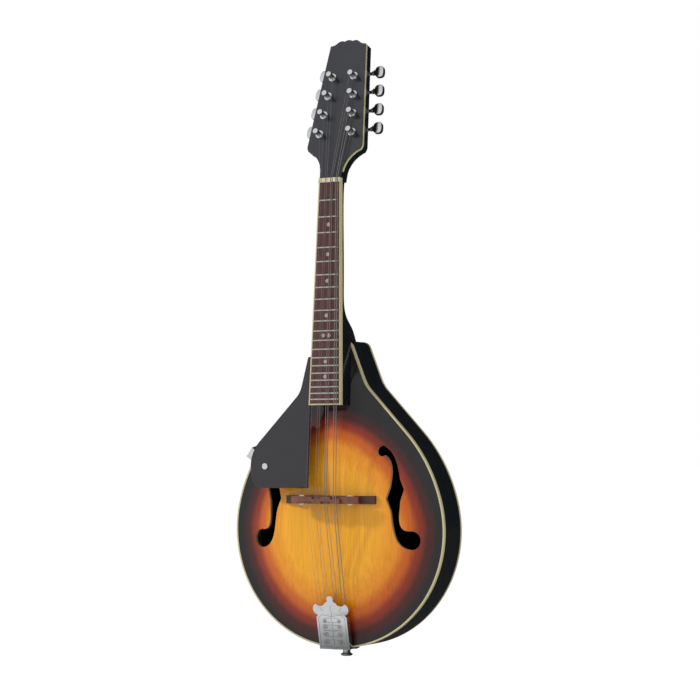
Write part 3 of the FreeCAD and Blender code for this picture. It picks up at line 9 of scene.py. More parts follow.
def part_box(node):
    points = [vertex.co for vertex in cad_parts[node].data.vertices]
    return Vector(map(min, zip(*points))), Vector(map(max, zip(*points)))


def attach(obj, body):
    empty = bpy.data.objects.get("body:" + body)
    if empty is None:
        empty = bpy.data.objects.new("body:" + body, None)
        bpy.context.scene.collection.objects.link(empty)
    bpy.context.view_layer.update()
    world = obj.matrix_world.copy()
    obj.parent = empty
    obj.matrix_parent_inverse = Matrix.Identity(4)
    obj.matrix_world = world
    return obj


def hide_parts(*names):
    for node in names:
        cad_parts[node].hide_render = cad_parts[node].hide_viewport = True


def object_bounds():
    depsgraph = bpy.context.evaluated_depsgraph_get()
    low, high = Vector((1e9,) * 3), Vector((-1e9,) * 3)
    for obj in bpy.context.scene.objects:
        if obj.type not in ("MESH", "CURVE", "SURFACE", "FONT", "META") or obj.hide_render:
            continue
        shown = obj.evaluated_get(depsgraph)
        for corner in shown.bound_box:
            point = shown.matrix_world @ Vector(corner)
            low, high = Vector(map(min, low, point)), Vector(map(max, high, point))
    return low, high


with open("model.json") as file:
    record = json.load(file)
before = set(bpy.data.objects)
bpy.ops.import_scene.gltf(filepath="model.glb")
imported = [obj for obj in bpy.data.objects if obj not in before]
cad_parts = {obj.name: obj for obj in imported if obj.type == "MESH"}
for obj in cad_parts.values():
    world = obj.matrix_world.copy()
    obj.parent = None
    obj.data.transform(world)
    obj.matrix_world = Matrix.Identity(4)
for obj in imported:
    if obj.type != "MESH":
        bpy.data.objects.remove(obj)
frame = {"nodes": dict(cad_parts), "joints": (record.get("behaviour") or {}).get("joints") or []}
cad_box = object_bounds()

bl_info = {
    "name": "Mandolin",
    "version": (1, 0, 0),
    "blender": (4, 5, 0),
    "location": "3D View > Sidebar > Mandolin",
    "description": "Builds the looks of a carved-top mandolin around its construction",
    "category": "Object",
}

MM = 0.001
X_AXIS = Vector((1, 0, 0))
OVAL_POWER = 2.8            # how square a button's oval is; 2 is a plain ellipse
WINDING_STEPS = 24          # points in each turn of a winding
WINDING_PITCH = 1.03        # spacing of the turns, in string gauges
SCROLL_STEPS = 34           # points along a leaf scroll
SCROLL_LEAN = 0.35          # radians by which a scroll starts past its stem


# ---------------------------------------------------------------- sizes and colours

def length(name, description, default):
    return bpy.props.FloatProperty(name=name, description=description, default=default * MM,
                                   min=0.0, unit="LENGTH", precision=5)


def colour(name, description, default):
    return bpy.props.FloatVectorProperty(name=name, description=description, default=default,
                                         subtype="COLOR", size=3, min=0.0, max=1.0)


class MandolinSizes(bpy.types.PropertyGroup):
    button_start: length("Button start", "From the post's line to the near side of the button",
                         16.0)
    button_length: length("Button length", "Across the button, away from the headstock", 12.8)
    button_height: length("Button height", "Up and down the button", 16.4)
    button_thickness: length("Button thickness", "Front to back through the button's middle", 5.8)
    waist_radius: length("Post waist", "Radius of the post where the string winds", 2.4)
    wrap_height: length("Winding height", "How far the first winding stands off the headstock", 6.6)
    winding_depth: length("Winding depth", "How far the windings run down the post", 2.3)
    gauge_e: length("E gauge", "Diameter of the E strings", 0.28)
    gauge_a: length("A gauge", "Diameter of the A strings", 0.40)
    gauge_d: length("D gauge", "Diameter of the D strings", 0.66)
    gauge_g: length("G gauge", "Diameter of the G strings", 0.96)
    cover_length: length("Cover length", "Tailpiece cover from its lower end to its finial", 61.0)
    cover_half_width: length("Cover half width", "From the cover's middle to its straight side",
                             18.8)
    engraving: length("Engraving line", "Half the width of the raised scroll lines", 0.2)
    soft_edge: length("Softened edge", "Rounding on sheet metal and wood edges", 0.35)
    guard_edge: length("Pickguard edge", "Chamfer round the pickguard", 0.8)
    burst_width: length("Burst width", "Half width of the amber field of the top", 106.0)
    burst_height: length("Burst height", "Half height of the amber field of the top", 117.0)
    burst_level: length("Burst level", "Height of the middle of the amber field", 137.0)
    ring_pitch: length("Growth rings", "Spacing of the growth lines of the top", 1.3)


class MandolinColours(bpy.types.PropertyGroup):
    amber: colour("Amber", "Middle of the sunburst", (0.830, 0.380, 0.016))
    honey: colour("Honey", "Sunburst, halfway out", (0.760, 0.280, 0.010))
    orange: colour("Orange", "Sunburst, before the red", (0.540, 0.110, 0.004))
    red: colour("Red", "Sunburst's red band", (0.230, 0.022, 0.006))
    maroon: colour("Maroon", "Sunburst's last colour before the edge", (0.055, 0.008, 0.006))
    edge: colour("Edge", "Black at the rim of the top", (0.009, 0.009, 0.011))
    lacquer: colour("Lacquer", "Back, sides and neck", (0.006, 0.008, 0.010))
    head: colour("Headstock", "Face of the headstock", (0.024, 0.025, 0.031))
    guard: colour("Pickguard", "Pickguard sheet", (0.020, 0.018, 0.021))
    cream: colour("Binding", "Aged cream edging", (0.560, 0.500, 0.280))
    bone: colour("Nut", "Polished bone", (0.600, 0.540, 0.360))
    rosewood: colour("Rosewood", "Fretboard", (0.085, 0.027, 0.024))
    bridge: colour("Bridge", "Saddle wood", (0.150, 0.052, 0.030))
    bare: colour("Bare wood", "Unfinished wood inside and at cut edges", (0.560, 0.370, 0.180))
    chrome: colour("Chrome", "Bright plating", (0.700, 0.710, 0.730))
    nickel: colour("Nickel", "Warmer plating on frets and wheels", (0.560, 0.530, 0.480))
    string: colour("Strings", "String wire", (0.360, 0.350, 0.325))
    pearl: colour("Pearl", "Position dots", (0.330, 0.290, 0.260))


# ---------------------------------------------------------------- shader building

def joined(tree, source, target):
    """Give an input either another node's output or a plain value."""
    if isinstance(source, bpy.types.NodeSocket):
        tree.links.new(source, target)
    else:
        target.default_value = source


def maths(tree, operation, first, second=0.0):
    node = tree.nodes.new("ShaderNodeMath")
    node.operation = operation
    joined(tree, first, node.inputs[0])
    joined(tree, second, node.inputs[1])
    return node.outputs[0]


def mixed(tree, share, first, second, blend="MIX"):
    """Blend two colours by a share."""
    node = tree.nodes.new("ShaderNodeMix")
    node.data_type = "RGBA"
    node.blend_type = blend
    joined(tree, share, node.inputs[0])
    joined(tree, first, node.inputs[6])
    joined(tree, second, node.inputs[7])
    return node.outputs[2]


def ranged(tree, amount, low, high):
    """Map 0..1 to low..high."""
    node = tree.nodes.new("ShaderNodeMapRange")
    joined(tree, amount, node.inputs["Value"])
    node.inputs["To Min"].default_value = low
    node.inputs["To Max"].default_value = high
    return node.outputs[0]


def ramp(tree, amount, stops):
    """A colour ramp through (place, colour) stops."""
    node = tree.nodes.new("ShaderNodeValToRGB")
    band = node.color_ramp
    band.interpolation = "EASE"
    while len(band.elements) < len(stops):
        band.elements.new(1.0)
    for element, (place, tint) in zip(band.elements, stops):
        element.position = place
        element.color = rgba(tint)
    joined(tree, amount, node.inputs[0])
    return node.outputs[0]


def rgba(tint):
    return (tint[0], tint[1], tint[2], 1.0)


def shaded(tint, factor):
    return tuple(min(1.0, part * factor) for part in tint)


def place_of(tree, turn=(0.0, 0.0, 0.0), stretch=(1.0, 1.0, 1.0)):
    """Object coordinates, turned and stretched."""
    source = tree.nodes.new("ShaderNodeTexCoord")
    mapping = tree.nodes.new("ShaderNodeMapping")
    mapping.inputs["Rotation"].default_value = turn
    mapping.inputs["Scale"].default_value = stretch
    tree.links.new(source.outputs["Object"], mapping.inputs["Vector"])
    return mapping.outputs[0]


def noise(tree, place, scale, detail=3.0, rough=0.55, distortion=0.0):
    node = tree.nodes.new("ShaderNodeTexNoise")
    joined(tree, place, node.inputs["Vector"])
    joined(tree, scale, node.inputs["Scale"])
    node.inputs["Detail"].default_value = detail
    node.inputs["Roughness"].default_value = rough
    node.inputs["Distortion"].default_value = distortion
    return node.outputs["Fac"]


def new_group(name, inputs, outputs):
    """An empty shader group with its sockets, and its inner ends."""
    group = bpy.data.node_groups.new(name, "ShaderNodeTree")
    for label, kind, default in inputs:
        socket = group.interface.new_socket(name=label, in_out="INPUT", socket_type=kind)
        if default is not None:
            socket.default_value = default
    for label, kind in outputs:
        group.interface.new_socket(name=label, in_out="OUTPUT", socket_type=kind)
    return group, group.nodes.new("NodeGroupInput"), group.nodes.new("NodeGroupOutput")


def long_grain_group():
    """Fine lines that run along local Z, with slower streaks between them."""
    group, start, end = new_group(
        "long_grain",
        [("Vector", "NodeSocketVector", None), ("Lines", "NodeSocketFloat", 800.0),
         ("Stretch", "NodeSocketFloat", 0.03)],
        [("Mask", "NodeSocketFloat")])
    split = group.nodes.new("ShaderNodeSeparateXYZ")
    group.links.new(start.outputs["Vector"], split.inputs[0])
    along = maths(group, "MULTIPLY", split.outputs["Z"], start.outputs["Stretch"])
    merge = group.nodes.new("ShaderNodeCombineXYZ")
    group.links.new(split.outputs["X"], merge.inputs["X"])
    group.links.new(split.outputs["Y"], merge.inputs["Y"])
    group.links.new(along, merge.inputs["Z"])
    fine = noise(group, merge.outputs[0], start.outputs["Lines"], 4.0, 0.65)
    broad = noise(group, merge.outputs[0],
                  maths(group, "MULTIPLY", start.outputs["Lines"], 0.12), 2.0)
    sharp = ranged(group, maths(group, "MULTIPLY", fine, fine), -0.35, 2.1)
    both = maths(group, "ADD", maths(group, "MULTIPLY", sharp, 0.65),
                 maths(group, "MULTIPLY", broad, 0.35))
    group.links.new(both, end.inputs["Mask"])
    return group


def handling_group():
    """Soft smudges with sparse fine rubs, for the gloss of touched surfaces."""
    group, start, end = new_group(
        "handling",
        [("Vector", "NodeSocketVector", None), ("Size", "NodeSocketFloat", 30.0),
         ("Low", "NodeSocketFloat", 0.1), ("High", "NodeSocketFloat", 0.3)],
        [("Roughness", "NodeSocketFloat"), ("Height", "NodeSocketFloat")])
    smudge = noise(group, start.outputs["Vector"], start.outputs["Size"], 5.0, 0.6, 0.4)
    fine = noise(group, start.outputs["Vector"],
                 maths(group, "MULTIPLY", start.outputs["Size"], 24.0), 2.0)
    share = maths(group, "ADD", maths(group, "MULTIPLY", smudge, 0.7),
                  maths(group, "MULTIPLY", fine, 0.3))
    span = maths(group, "SUBTRACT", start.outputs["High"], start.outputs["Low"])
    rough = maths(group, "ADD", maths(group, "MULTIPLY", share, span), start.outputs["Low"])
    group.links.new(rough, end.inputs["Roughness"])
    group.links.new(share, end.inputs["Height"])
    return group


GROUPS = {}


def placed_group(tree, name, place, **amounts):
    """One of the shared groups in a material, with its own values."""
    if name not in GROUPS:
        GROUPS[name] = {"long_grain": long_grain_group, "handling": handling_group}[name]()
    node = tree.nodes.new("ShaderNodeGroup")
    node.node_tree = GROUPS[name]
    tree.links.new(place, node.inputs["Vector"])
    for label, amount in amounts.items():
        node.inputs[label].default_value = amount
    return node


def new_material(name, **constants):
    """A Principled material; Coat_Weight=1 sets the shader's own Coat Weight."""
    material = bpy.data.materials.new(name)
    material.use_nodes = True
    shader = material.node_tree.nodes["Principled BSDF"]
    for label, amount in constants.items():
        shader.inputs[label.replace("_", " ")].default_value = amount
    return material, material.node_tree, shader


def bumped(tree, shader, height, strength, distance):
    bump = tree.nodes.new("ShaderNodeBump")
    bump.inputs["Strength"].default_value = strength
    bump.inputs["Distance"].default_value = distance
    tree.links.new(height, bump.inputs["Height"])
    tree.links.new(bump.outputs[0], shader.inputs["Normal"])


def glossed(tree, shader, place, low, high, size=30.0):
    """Let the handling marks vary a surface's roughness."""
    marks = placed_group(tree, "handling", place, Size=size, Low=low, High=high)
    tree.links.new(marks.outputs["Roughness"], shader.inputs["Roughness"])
    return marks.outputs["Height"]


# ---------------------------------------------------------------- finishes

def wood(name, dark, light, lines=800.0, stretch=0.03, turn=(0.0, 0.0, 0.0), gloss=(0.35, 0.5),
         coat=0.0, relief=0.15):
    """Wood with its grain along Z unless turned."""
    material, tree, shader = new_material(name, Coat_Weight=coat, Coat_Roughness=0.06)
    place = place_of(tree, turn)
    grain = placed_group(tree, "long_grain", place, Lines=lines, Stretch=stretch).outputs["Mask"]
    tree.links.new(mixed(tree, grain, rgba(dark), rgba(light)), shader.inputs["Base Color"])
    glossed(tree, shader, place, *gloss)
    bumped(tree, shader, grain, relief, 0.0002)
    return material


def sunburst(sizes, colours):
    """Clear lacquer over fine straight spruce, amber in the middle and black at the rim."""
    material, tree, shader = new_material("sunburst_spruce", Coat_Weight=0.7, Coat_Roughness=0.07,
                                         Specular_IOR_Level=0.1)
    place = place_of(tree)
    split = tree.nodes.new("ShaderNodeSeparateXYZ")
    tree.links.new(place, split.inputs[0])
    across = maths(tree, "ABSOLUTE", split.outputs["X"])
    above = maths(tree, "SUBTRACT", split.outputs["Z"], sizes.burst_level)
    wide = maths(tree, "DIVIDE", across, sizes.burst_width)
    tall = maths(tree, "DIVIDE", above, sizes.burst_height)
    squares = maths(tree, "ADD", maths(tree, "MULTIPLY", wide, wide),
                    maths(tree, "MULTIPLY", tall, tall))
    upper = maths(tree, "MAXIMUM", tall, 0.0)
    shoulder = maths(tree, "MULTIPLY", maths(tree, "MULTIPLY", wide, upper), 0.186)
    cloud = ranged(tree, noise(tree, place, 14.0, 2.0), -0.02, 0.02)
    field = maths(tree, "ADD", maths(tree, "ADD", maths(tree, "SQRT", squares), shoulder), cloud)
    share = maths(tree, "DIVIDE", field, 1.3)
    burst = ramp(tree, share, [(0.0, colours.amber), (0.40, colours.amber), (0.56, colours.honey),
                               (0.665, colours.orange), (0.745, colours.red),
                               (0.815, colours.maroon), (0.90, colours.edge)])
    grain = placed_group(tree, "long_grain", place, Lines=1.0 / sizes.ring_pitch,
                         Stretch=0.012).outputs["Mask"]
    lines = ramp(tree, grain, [(0.0, (0.80, 0.74, 0.62)), (0.55, (1.0, 0.98, 0.94)),
                               (1.0, (1.0, 1.0, 1.0))])
    lined = mixed(tree, 1.0, burst, lines, "MULTIPLY")
    geometry = tree.nodes.new("ShaderNodeNewGeometry")
    facing = tree.nodes.new("ShaderNodeSeparateXYZ")
    tree.links.new(geometry.outputs["True Normal"], facing.inputs[0])
    wall = maths(tree, "GREATER_THAN", facing.outputs["Y"], -0.35)
    raw = mixed(tree, grain, rgba(shaded(colours.bare, 0.5)), rgba(colours.bare))
    tree.links.new(mixed(tree, wall, lined, raw), shader.inputs["Base Color"])
    glossed(tree, shader, place, 0.22, 0.34)
    bumped(tree, shader, grain, 0.05, 0.0001)
    return material


def lacquer(name, tint, low=0.10, high=0.22, coat=1.0):
    """Deep gloss over a dark ground, with the faint waviness of a sprayed finish."""
    material, tree, shader = new_material(name, Coat_Weight=coat, Coat_Roughness=0.05,
                                         Specular_IOR_Level=0.12 if coat else 0.5)
    place = place_of(tree)
    cloud = noise(tree, place, 18.0, 3.0)
    tree.links.new(mixed(tree, cloud, rgba(shaded(tint, 0.8)), rgba(shaded(tint, 1.25))),
                   shader.inputs["Base Color"])
    glossed(tree, shader, place, low, high)
    bumped(tree, shader, noise(tree, place, 120.0, 2.0), 0.04, 0.0003)
    return material


def celluloid(name, tint, gloss=(0.25, 0.4)):
    """Cream plastic with the fine straight lines of layered sheet."""
    material, tree, shader = new_material(name, Coat_Weight=0.5, Coat_Roughness=0.08)
    place = place_of(tree, stretch=(1.0, 3.0, 0.3))
    lines = noise(tree, place, 900.0, 2.0)
    age = noise(tree, place_of(tree), 25.0, 4.0)
    aged = mixed(tree, age, rgba(shaded(tint, 0.86)), rgba(shaded(tint, 1.08)))
    tree.links.new(mixed(tree, ranged(tree, lines, 0.0, 0.3), aged, rgba(shaded(tint, 0.7))),
                   shader.inputs["Base Color"])
    glossed(tree, shader, place_of(tree), *gloss)
    return material


def plated(name, tint, low=0.06, high=0.16, size=60.0, relief=0.03):
    """Bright plating with handling marks and a faint orange-peel."""
    material, tree, shader = new_material(name, Metallic=1.0)
    place = place_of(tree)
    tone = noise(tree, place, 90.0, 3.0)
    tree.links.new(mixed(tree, tone, rgba(shaded(tint, 0.9)), rgba(shaded(tint, 1.08))),
                   shader.inputs["Base Color"])
    height = glossed(tree, shader, place, low, high, size)
    bumped(tree, shader, height, relief, 0.0001)
    return material


def string_wire(name, tint, pitch):
    """Drawn wire, or wrap wire wound at a pitch round a core."""
    material, tree, shader = new_material(name, Metallic=1.0)
    place = place_of(tree)
    tone = noise(tree, place, 200.0, 3.0)
    tree.links.new(mixed(tree, tone, rgba(shaded(tint, 0.8)), rgba(shaded(tint, 1.15))),
                   shader.inputs["Base Color"])
    glossed(tree, shader, place, 0.16, 0.3, 200.0)
    if pitch:
        split = tree.nodes.new("ShaderNodeSeparateXYZ")
        tree.links.new(place, split.inputs[0])
        turns = maths(tree, "MULTIPLY", split.outputs["Z"], 2 * math.pi / pitch)
        ridges = maths(tree, "SINE", turns)
        bumped(tree, shader, ranged(tree, ridges, 0.0, 1.0), 0.5, 0.00008)
    return material


def pearl(tint):
    """Shell with patches that turn pink and green."""
    material, tree, shader = new_material("shell", Coat_Weight=0.8, Coat_Roughness=0.05)
    place = place_of(tree)
    cells = tree.nodes.new("ShaderNodeTexVoronoi")
    tree.links.new(place, cells.inputs["Vector"])
    cells.inputs["Scale"].default_value = 900.0
    sheen = mixed(tree, noise(tree, place, 500.0, 2.0, 0.5, 1.5), rgba((0.34, 0.37, 0.35)),
                  rgba((0.40, 0.34, 0.34)))
    patches = ranged(tree, cells.outputs["Distance"], 0.1, 0.6)
    tree.links.new(mixed(tree, patches, rgba(tint), sheen), shader.inputs["Base Color"])
    glossed(tree, shader, place, 0.15, 0.3, 200.0)
    return material


FINISH = {}


def make_finishes(sizes, colours):
    """Every finish of the instrument, built once."""
    if FINISH:
        return FINISH
    across = (0.0, math.radians(90), 0.0)
    FINISH.update({
        "spruce_top": sunburst(sizes, colours),
        "black_lacquer": lacquer("black_lacquer", colours.lacquer),
        "head_face": lacquer("head_lacquer", colours.head, 0.05, 0.12, 0.0),
        "guard_plastic": lacquer("guard_sheet", colours.guard, 0.14, 0.26, 0.0),
        "cream_binding": celluloid("cream_celluloid", colours.cream),
        "bone": celluloid("polished_bone", colours.bone, (0.2, 0.32)),
        "rosewood": wood("oiled_rosewood", shaded(colours.rosewood, 0.45),
                         shaded(colours.rosewood, 1.7), 1300.0, 0.035, gloss=(0.32, 0.5)),
        "saddle_wood": wood("saddle_rosewood", shaded(colours.bridge, 0.5),
                            shaded(colours.bridge, 2.0), 1200.0, 0.04, across, (0.3, 0.45)),
        "ebony": wood("stained_base", shaded(colours.bridge, 0.16), shaded(colours.bridge, 0.75),
                      1200.0, 0.04, across, (0.3, 0.42)),
        "inner_wood": wood("bare_wood", shaded(colours.bare, 0.55), colours.bare, 900.0, 0.02),
        "nickel_silver": plated("fret_wire", colours.nickel, 0.12, 0.24),
        "wheel_nickel": plated("wheel_plating", colours.nickel, 0.10, 0.2),
        "chrome_hardware": plated("bright_chrome", colours.chrome, 0.04, 0.12),
        "tailpiece_nickel": plated("cover_plating", colours.chrome, 0.10, 0.22, 80.0, 0.06),
        # Painted shade: the engraving is drawn as raised lines coloured dark, in place of the shade
        # that falls inside cut lines.
        "engraving": plated("scroll_lines_painted_shade", shaded(colours.chrome, 0.32), 0.25, 0.4, 200.0),
        "steel": plated("plain_steel", shaded(colours.chrome, 0.7), 0.2, 0.35),
        "pearl": pearl(colours.pearl),
        "string_plain": string_wire("plain_wire", colours.string, 0.0),
        "string_wound": string_wire("wound_wire", colours.string, 0.32 * MM),
    })
    return FINISH


# ---------------------------------------------------------------- piece building

def finishes(context):
    return make_finishes(context.scene.mandolin_sizes, context.scene.mandolin_colours)


def dress(finish, *nodes):
    """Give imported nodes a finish."""
    for name in nodes:
        node = frame["nodes"][name]
        for slot in node.material_slots:
            slot.material = finish


def only(piece):
    """Leave one object selected and active."""
    bpy.ops.object.select_all(action="DESELECT")
    piece.select_set(True)
    bpy.context.view_layer.objects.active = piece


def edit_all(piece):
    only(piece)
    bpy.ops.object.mode_set(mode="EDIT")
    bpy.ops.mesh.select_all(action="SELECT")


def copied(node, name):
    """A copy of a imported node, its loose triangles merged into one clean skin."""
    piece = bpy.data.objects.new(name, frame["nodes"][node].data.copy())
    bpy.context.scene.collection.objects.link(piece)
    edit_all(piece)
    bpy.ops.mesh.remove_doubles(threshold=0.002 * MM)
    bpy.ops.mesh.dissolve_limited(angle_limit=math.radians(0.6))
    bpy.ops.object.mode_set(mode="OBJECT")
    bpy.ops.mesh.customdata_custom_splitnormals_clear()
    return piece


def softened(piece, width, segments=2, angle=38.0):
    """Round the sharp edges of a piece."""
    only(piece)
    bevel = piece.modifiers.new("edge", "BEVEL")
    bevel.width = width
    bevel.segments = segments
    bevel.limit_method = "ANGLE"
    bevel.angle_limit = math.radians(angle)
    bevel.use_clamp_overlap = True
    bpy.ops.object.modifier_apply(modifier="edge")
    bpy.ops.object.shade_smooth_by_angle(angle=math.radians(35))
    return piece


def finished(piece, finish, body, slot, *replaced):
    """Dress a piece, let it ride on its body and stand for the nodes it replaces."""
    piece.data.materials.clear()
    piece.data.materials.append(finish)
    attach(piece, body)
    if replaced:
        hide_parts(*replaced)
    return piece


def joined_pieces(name, pieces):
    """Several objects made one mesh object."""
    only(pieces[0])
    for piece in pieces:
        piece.select_set(True)
    bpy.ops.object.join()
    pieces[0].name = name
    return pieces[0]


def wire_run(points, radius, closed=False):
    """A thin round wire along points, as a mesh."""
    curve = bpy.data.curves.new("wire_run", "CURVE")
    curve.dimensions = "3D"
    curve.bevel_depth = radius
    curve.bevel_resolution = 2
    curve.use_fill_caps = True
    spline = curve.splines.new("POLY")
    spline.points.add(len(points) - 1)
    for spot, point in zip(spline.points, points):
        spot.co = (*point, 1.0)
    spline.use_cyclic_u = closed
    item = bpy.data.objects.new("wire_run", curve)
    bpy.context.scene.collection.objects.link(item)
    only(item)
    bpy.ops.object.convert(target="MESH")
    return item


def joint(name):
    return next(item for item in frame["joints"] if item["name"] == name)


def machine_frame(number):
    """Where a tuning machine stands: X toward its button, Y down its post, Z up the headstock."""
    across = Vector(joint(f"key_{number}_turn")["axis"])
    down = Vector(joint(f"post_{number}_turn")["axis"])
    up = across.cross(down)
    place = Vector(joint(f"post_{number}_turn")["pos_m"])
    return Matrix.Translation(place) @ Matrix((across, down, up)).transposed().to_4x4()


def tail_frame(sizes):
    """Where the tailpiece cover stands: Z up its face, Y into the body."""
    up = Vector(joint("tailpiece_cover_slide")["axis"])
    inward = up.cross(X_AXIS)
    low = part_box("tailpiece_cover")[0]
    place = Vector((0.0, low.y - up.y * sizes.cover_length, low.z))
    return Matrix.Translation(place) @ Matrix((X_AXIS, inward, up)).transposed().to_4x4()


# ---------------------------------------------------------------- operators

class MANDOLIN_OT_stage(bpy.types.Operator):
    """Floor, world, lamps and camera"""
    bl_idname = "mandolin.stage"
    bl_label = "Stage"

    def execute(self, context):
        scene = context.scene
        scene.view_settings.view_transform = "Standard"
        self.build_floor(cad_box[0].z)
        self.build_world(scene)
        self.build_lamps(scene)
        self.build_camera(scene)
        return {"FINISHED"}

    def build_floor(self, level):
        bpy.ops.object.select_all(action="DESELECT")
        bpy.ops.mesh.primitive_plane_add(size=30.0, location=(0.0, 0.0, level - 0.2 * MM))
        floor = bpy.context.active_object
        floor.name = "floor"
        material, tree, shader = new_material("pale_floor", Roughness=0.9)
        shader.inputs["Base Color"].default_value = (0.93, 0.93, 0.93, 1.0)
        shader.inputs["Specular IOR Level"].default_value = 0.0
        glow = tree.nodes.new("ShaderNodeEmission")
        glow.inputs["Strength"].default_value = 1.06
        path = tree.nodes.new("ShaderNodeLightPath")
        share = maths(tree, "MULTIPLY", path.outputs["Is Camera Ray"], 0.92)
        blend = tree.nodes.new("ShaderNodeMixShader")
        tree.links.new(share, blend.inputs[0])
        tree.links.new(shader.outputs[0], blend.inputs[1])
        tree.links.new(glow.outputs[0], blend.inputs[2])
        dark = tree.nodes.new("ShaderNodeEmission")
        split = tree.nodes.new("ShaderNodeSeparateXYZ")
        tree.links.new(place_of(tree), split.inputs[0])
        ahead = maths(tree, "ADD", maths(tree, "MULTIPLY", split.outputs["Y"], -8.0),
                      maths(tree, "MULTIPLY", split.outputs["X"], -3.0))
        tree.links.new(ranged(tree, ahead, 0.03, 0.8), dark.inputs["Strength"])
        reflected = tree.nodes.new("ShaderNodeMixShader")
        tree.links.new(path.outputs["Is Glossy Ray"], reflected.inputs[0])
        tree.links.new(blend.outputs[0], reflected.inputs[1])
        tree.links.new(dark.outputs[0], reflected.inputs[2])
        tree.links.new(reflected.outputs[0], tree.nodes["Material Output"].inputs["Surface"])
        floor.data.materials.append(material)

    def build_world(self, scene):
        """White behind the object, a graded studio in its reflections, an even glow on the rest."""
        world = bpy.data.worlds.new("studio")
        scene.world = world
        world.use_nodes = True
        tree = world.node_tree
        base = tree.nodes["Background"]
        base.inputs["Color"].default_value = (1.0, 1.0, 1.0, 1.0)
        base.inputs["Strength"].default_value = 0.60
        seen = tree.nodes.new("ShaderNodeBackground")
        seen.inputs["Color"].default_value = (1.0, 1.0, 1.0, 1.0)
        mirror = tree.nodes.new("ShaderNodeBackground")
        source = tree.nodes.new("ShaderNodeTexCoord")
        split = tree.nodes.new("ShaderNodeSeparateXYZ")
        tree.links.new(source.outputs["Generated"], split.inputs[0])
        ahead = maths(tree, "MULTIPLY", split.outputs["Y"], -0.7)
        aside = maths(tree, "MULTIPLY", split.outputs["X"], -0.4)
        above = maths(tree, "MULTIPLY", split.outputs["Z"], 0.15)
        tilt = maths(tree, "ADD", maths(tree, "ADD", ahead, aside), above)
        grade = ramp(tree, tilt, [(0.0, (0.012, 0.013, 0.015)), (0.25, (0.13, 0.13, 0.14)),
                                  (0.5, (0.50, 0.50, 0.51)), (0.8, (0.86, 0.86, 0.87))])
        tree.links.new(grade, mirror.inputs["Color"])
        path = tree.nodes.new("ShaderNodeLightPath")
        first = tree.nodes.new("ShaderNodeMixShader")
        tree.links.new(path.outputs["Is Glossy Ray"], first.inputs[0])
        tree.links.new(base.outputs[0], first.inputs[1])
        tree.links.new(mirror.outputs[0], first.inputs[2])
        last = tree.nodes.new("ShaderNodeMixShader")
        tree.links.new(maths(tree, "MAXIMUM", path.outputs["Is Camera Ray"],
                             path.outputs["Is Transmission Ray"]), last.inputs[0])
        tree.links.new(first.outputs[0], last.inputs[1])
        tree.links.new(seen.outputs[0], last.inputs[2])
        tree.links.new(last.outputs[0], tree.nodes["World Output"].inputs["Surface"])

    def build_lamps(self, scene):
        """A crisp key from the upper left and a broad fill, which don't show in the gloss."""
        for name, place, aim, size, power in (
                ("key", (-2.0, -1.7, 1.9), (0.0, 0.0, 0.3), 0.2, 52.0),
                ("fill_right", (2.9, -1.3, 1.0), (0.0, 0.0, 0.3), 1.2, 16.0)):
            lamp = bpy.data.lights.new(name, "AREA")
            lamp.energy = power
            lamp.size = size
            item = bpy.data.objects.new(name, lamp)
            item.visible_glossy = False
            item.location = place
            item.rotation_euler = (Vector(aim) - Vector(place)).to_track_quat("-Z", "Y").to_euler()
            scene.collection.objects.link(item)

    def build_camera(self, scene):
        azimuth, pitch, reach = math.radians(27.5), math.radians(-2.34), 2.49
        back = Vector((math.sin(azimuth) * math.cos(pitch), -math.cos(azimuth) * math.cos(pitch),
                       math.sin(pitch)))
        right = Vector((math.cos(azimuth), math.sin(azimuth), 0.0))
        aim = Vector((0.0, -20.0 * MM, 329.9 * MM)) + right * 14.2 * MM
        camera = bpy.data.cameras.new("camera")
        camera.lens = 115.1
        camera.sensor_width = 36.0
        item = bpy.data.objects.new("camera", camera)
        item.location = aim + back * reach
        roll = Matrix.Rotation(math.radians(-0.235), 3, "Z").to_quaternion()
        item.rotation_euler = ((-back).to_track_quat("-Z", "Y") @ roll).to_euler()
        scene.collection.objects.link(item)
        scene.camera = item


class MANDOLIN_OT_sound_box(bpy.types.Operator):
    """Top, back, sides, edging and inner wood"""
    bl_idname = "mandolin.sound_box"
    bl_label = "Sound box"

    def execute(self, context):
        finish = finishes(context)
        dress(finish["spruce_top"], "soundboard")
        dress(finish["black_lacquer"], "back_plate", "rib_left", "rib_right")
        dress(finish["cream_binding"], "top_binding", "back_binding")
        dress(finish["inner_wood"], "top_lining", "back_lining", "neck_block", "tail_block",
              "tone_bars")
        return {"FINISHED"}


class MANDOLIN_OT_neck(bpy.types.Operator):
    """Neck, fretboard, frets, dots, nut and headstock face"""
    bl_idname = "mandolin.neck"
    bl_label = "Neck"

    def execute(self, context):
        sizes, finish = context.scene.mandolin_sizes, finishes(context)
        dress(finish["black_lacquer"], "neck", "fretboard_riser")
        dress(finish["head_face"], "headstock_veneer")
        dress(finish["cream_binding"], "headstock_binding", "fretboard_binding")
        dress(finish["rosewood"], "fretboard")
        dress(finish["nickel_silver"], "frets")
        dress(finish["pearl"], "position_dots")
        dress(finish["steel"], "neck_rod")
        nut = softened(copied("nut", "nut_block"), sizes.soft_edge * 0.6)
        finished(nut, finish["bone"], "instrument", "bone", "nut")
        return {"FINISHED"}


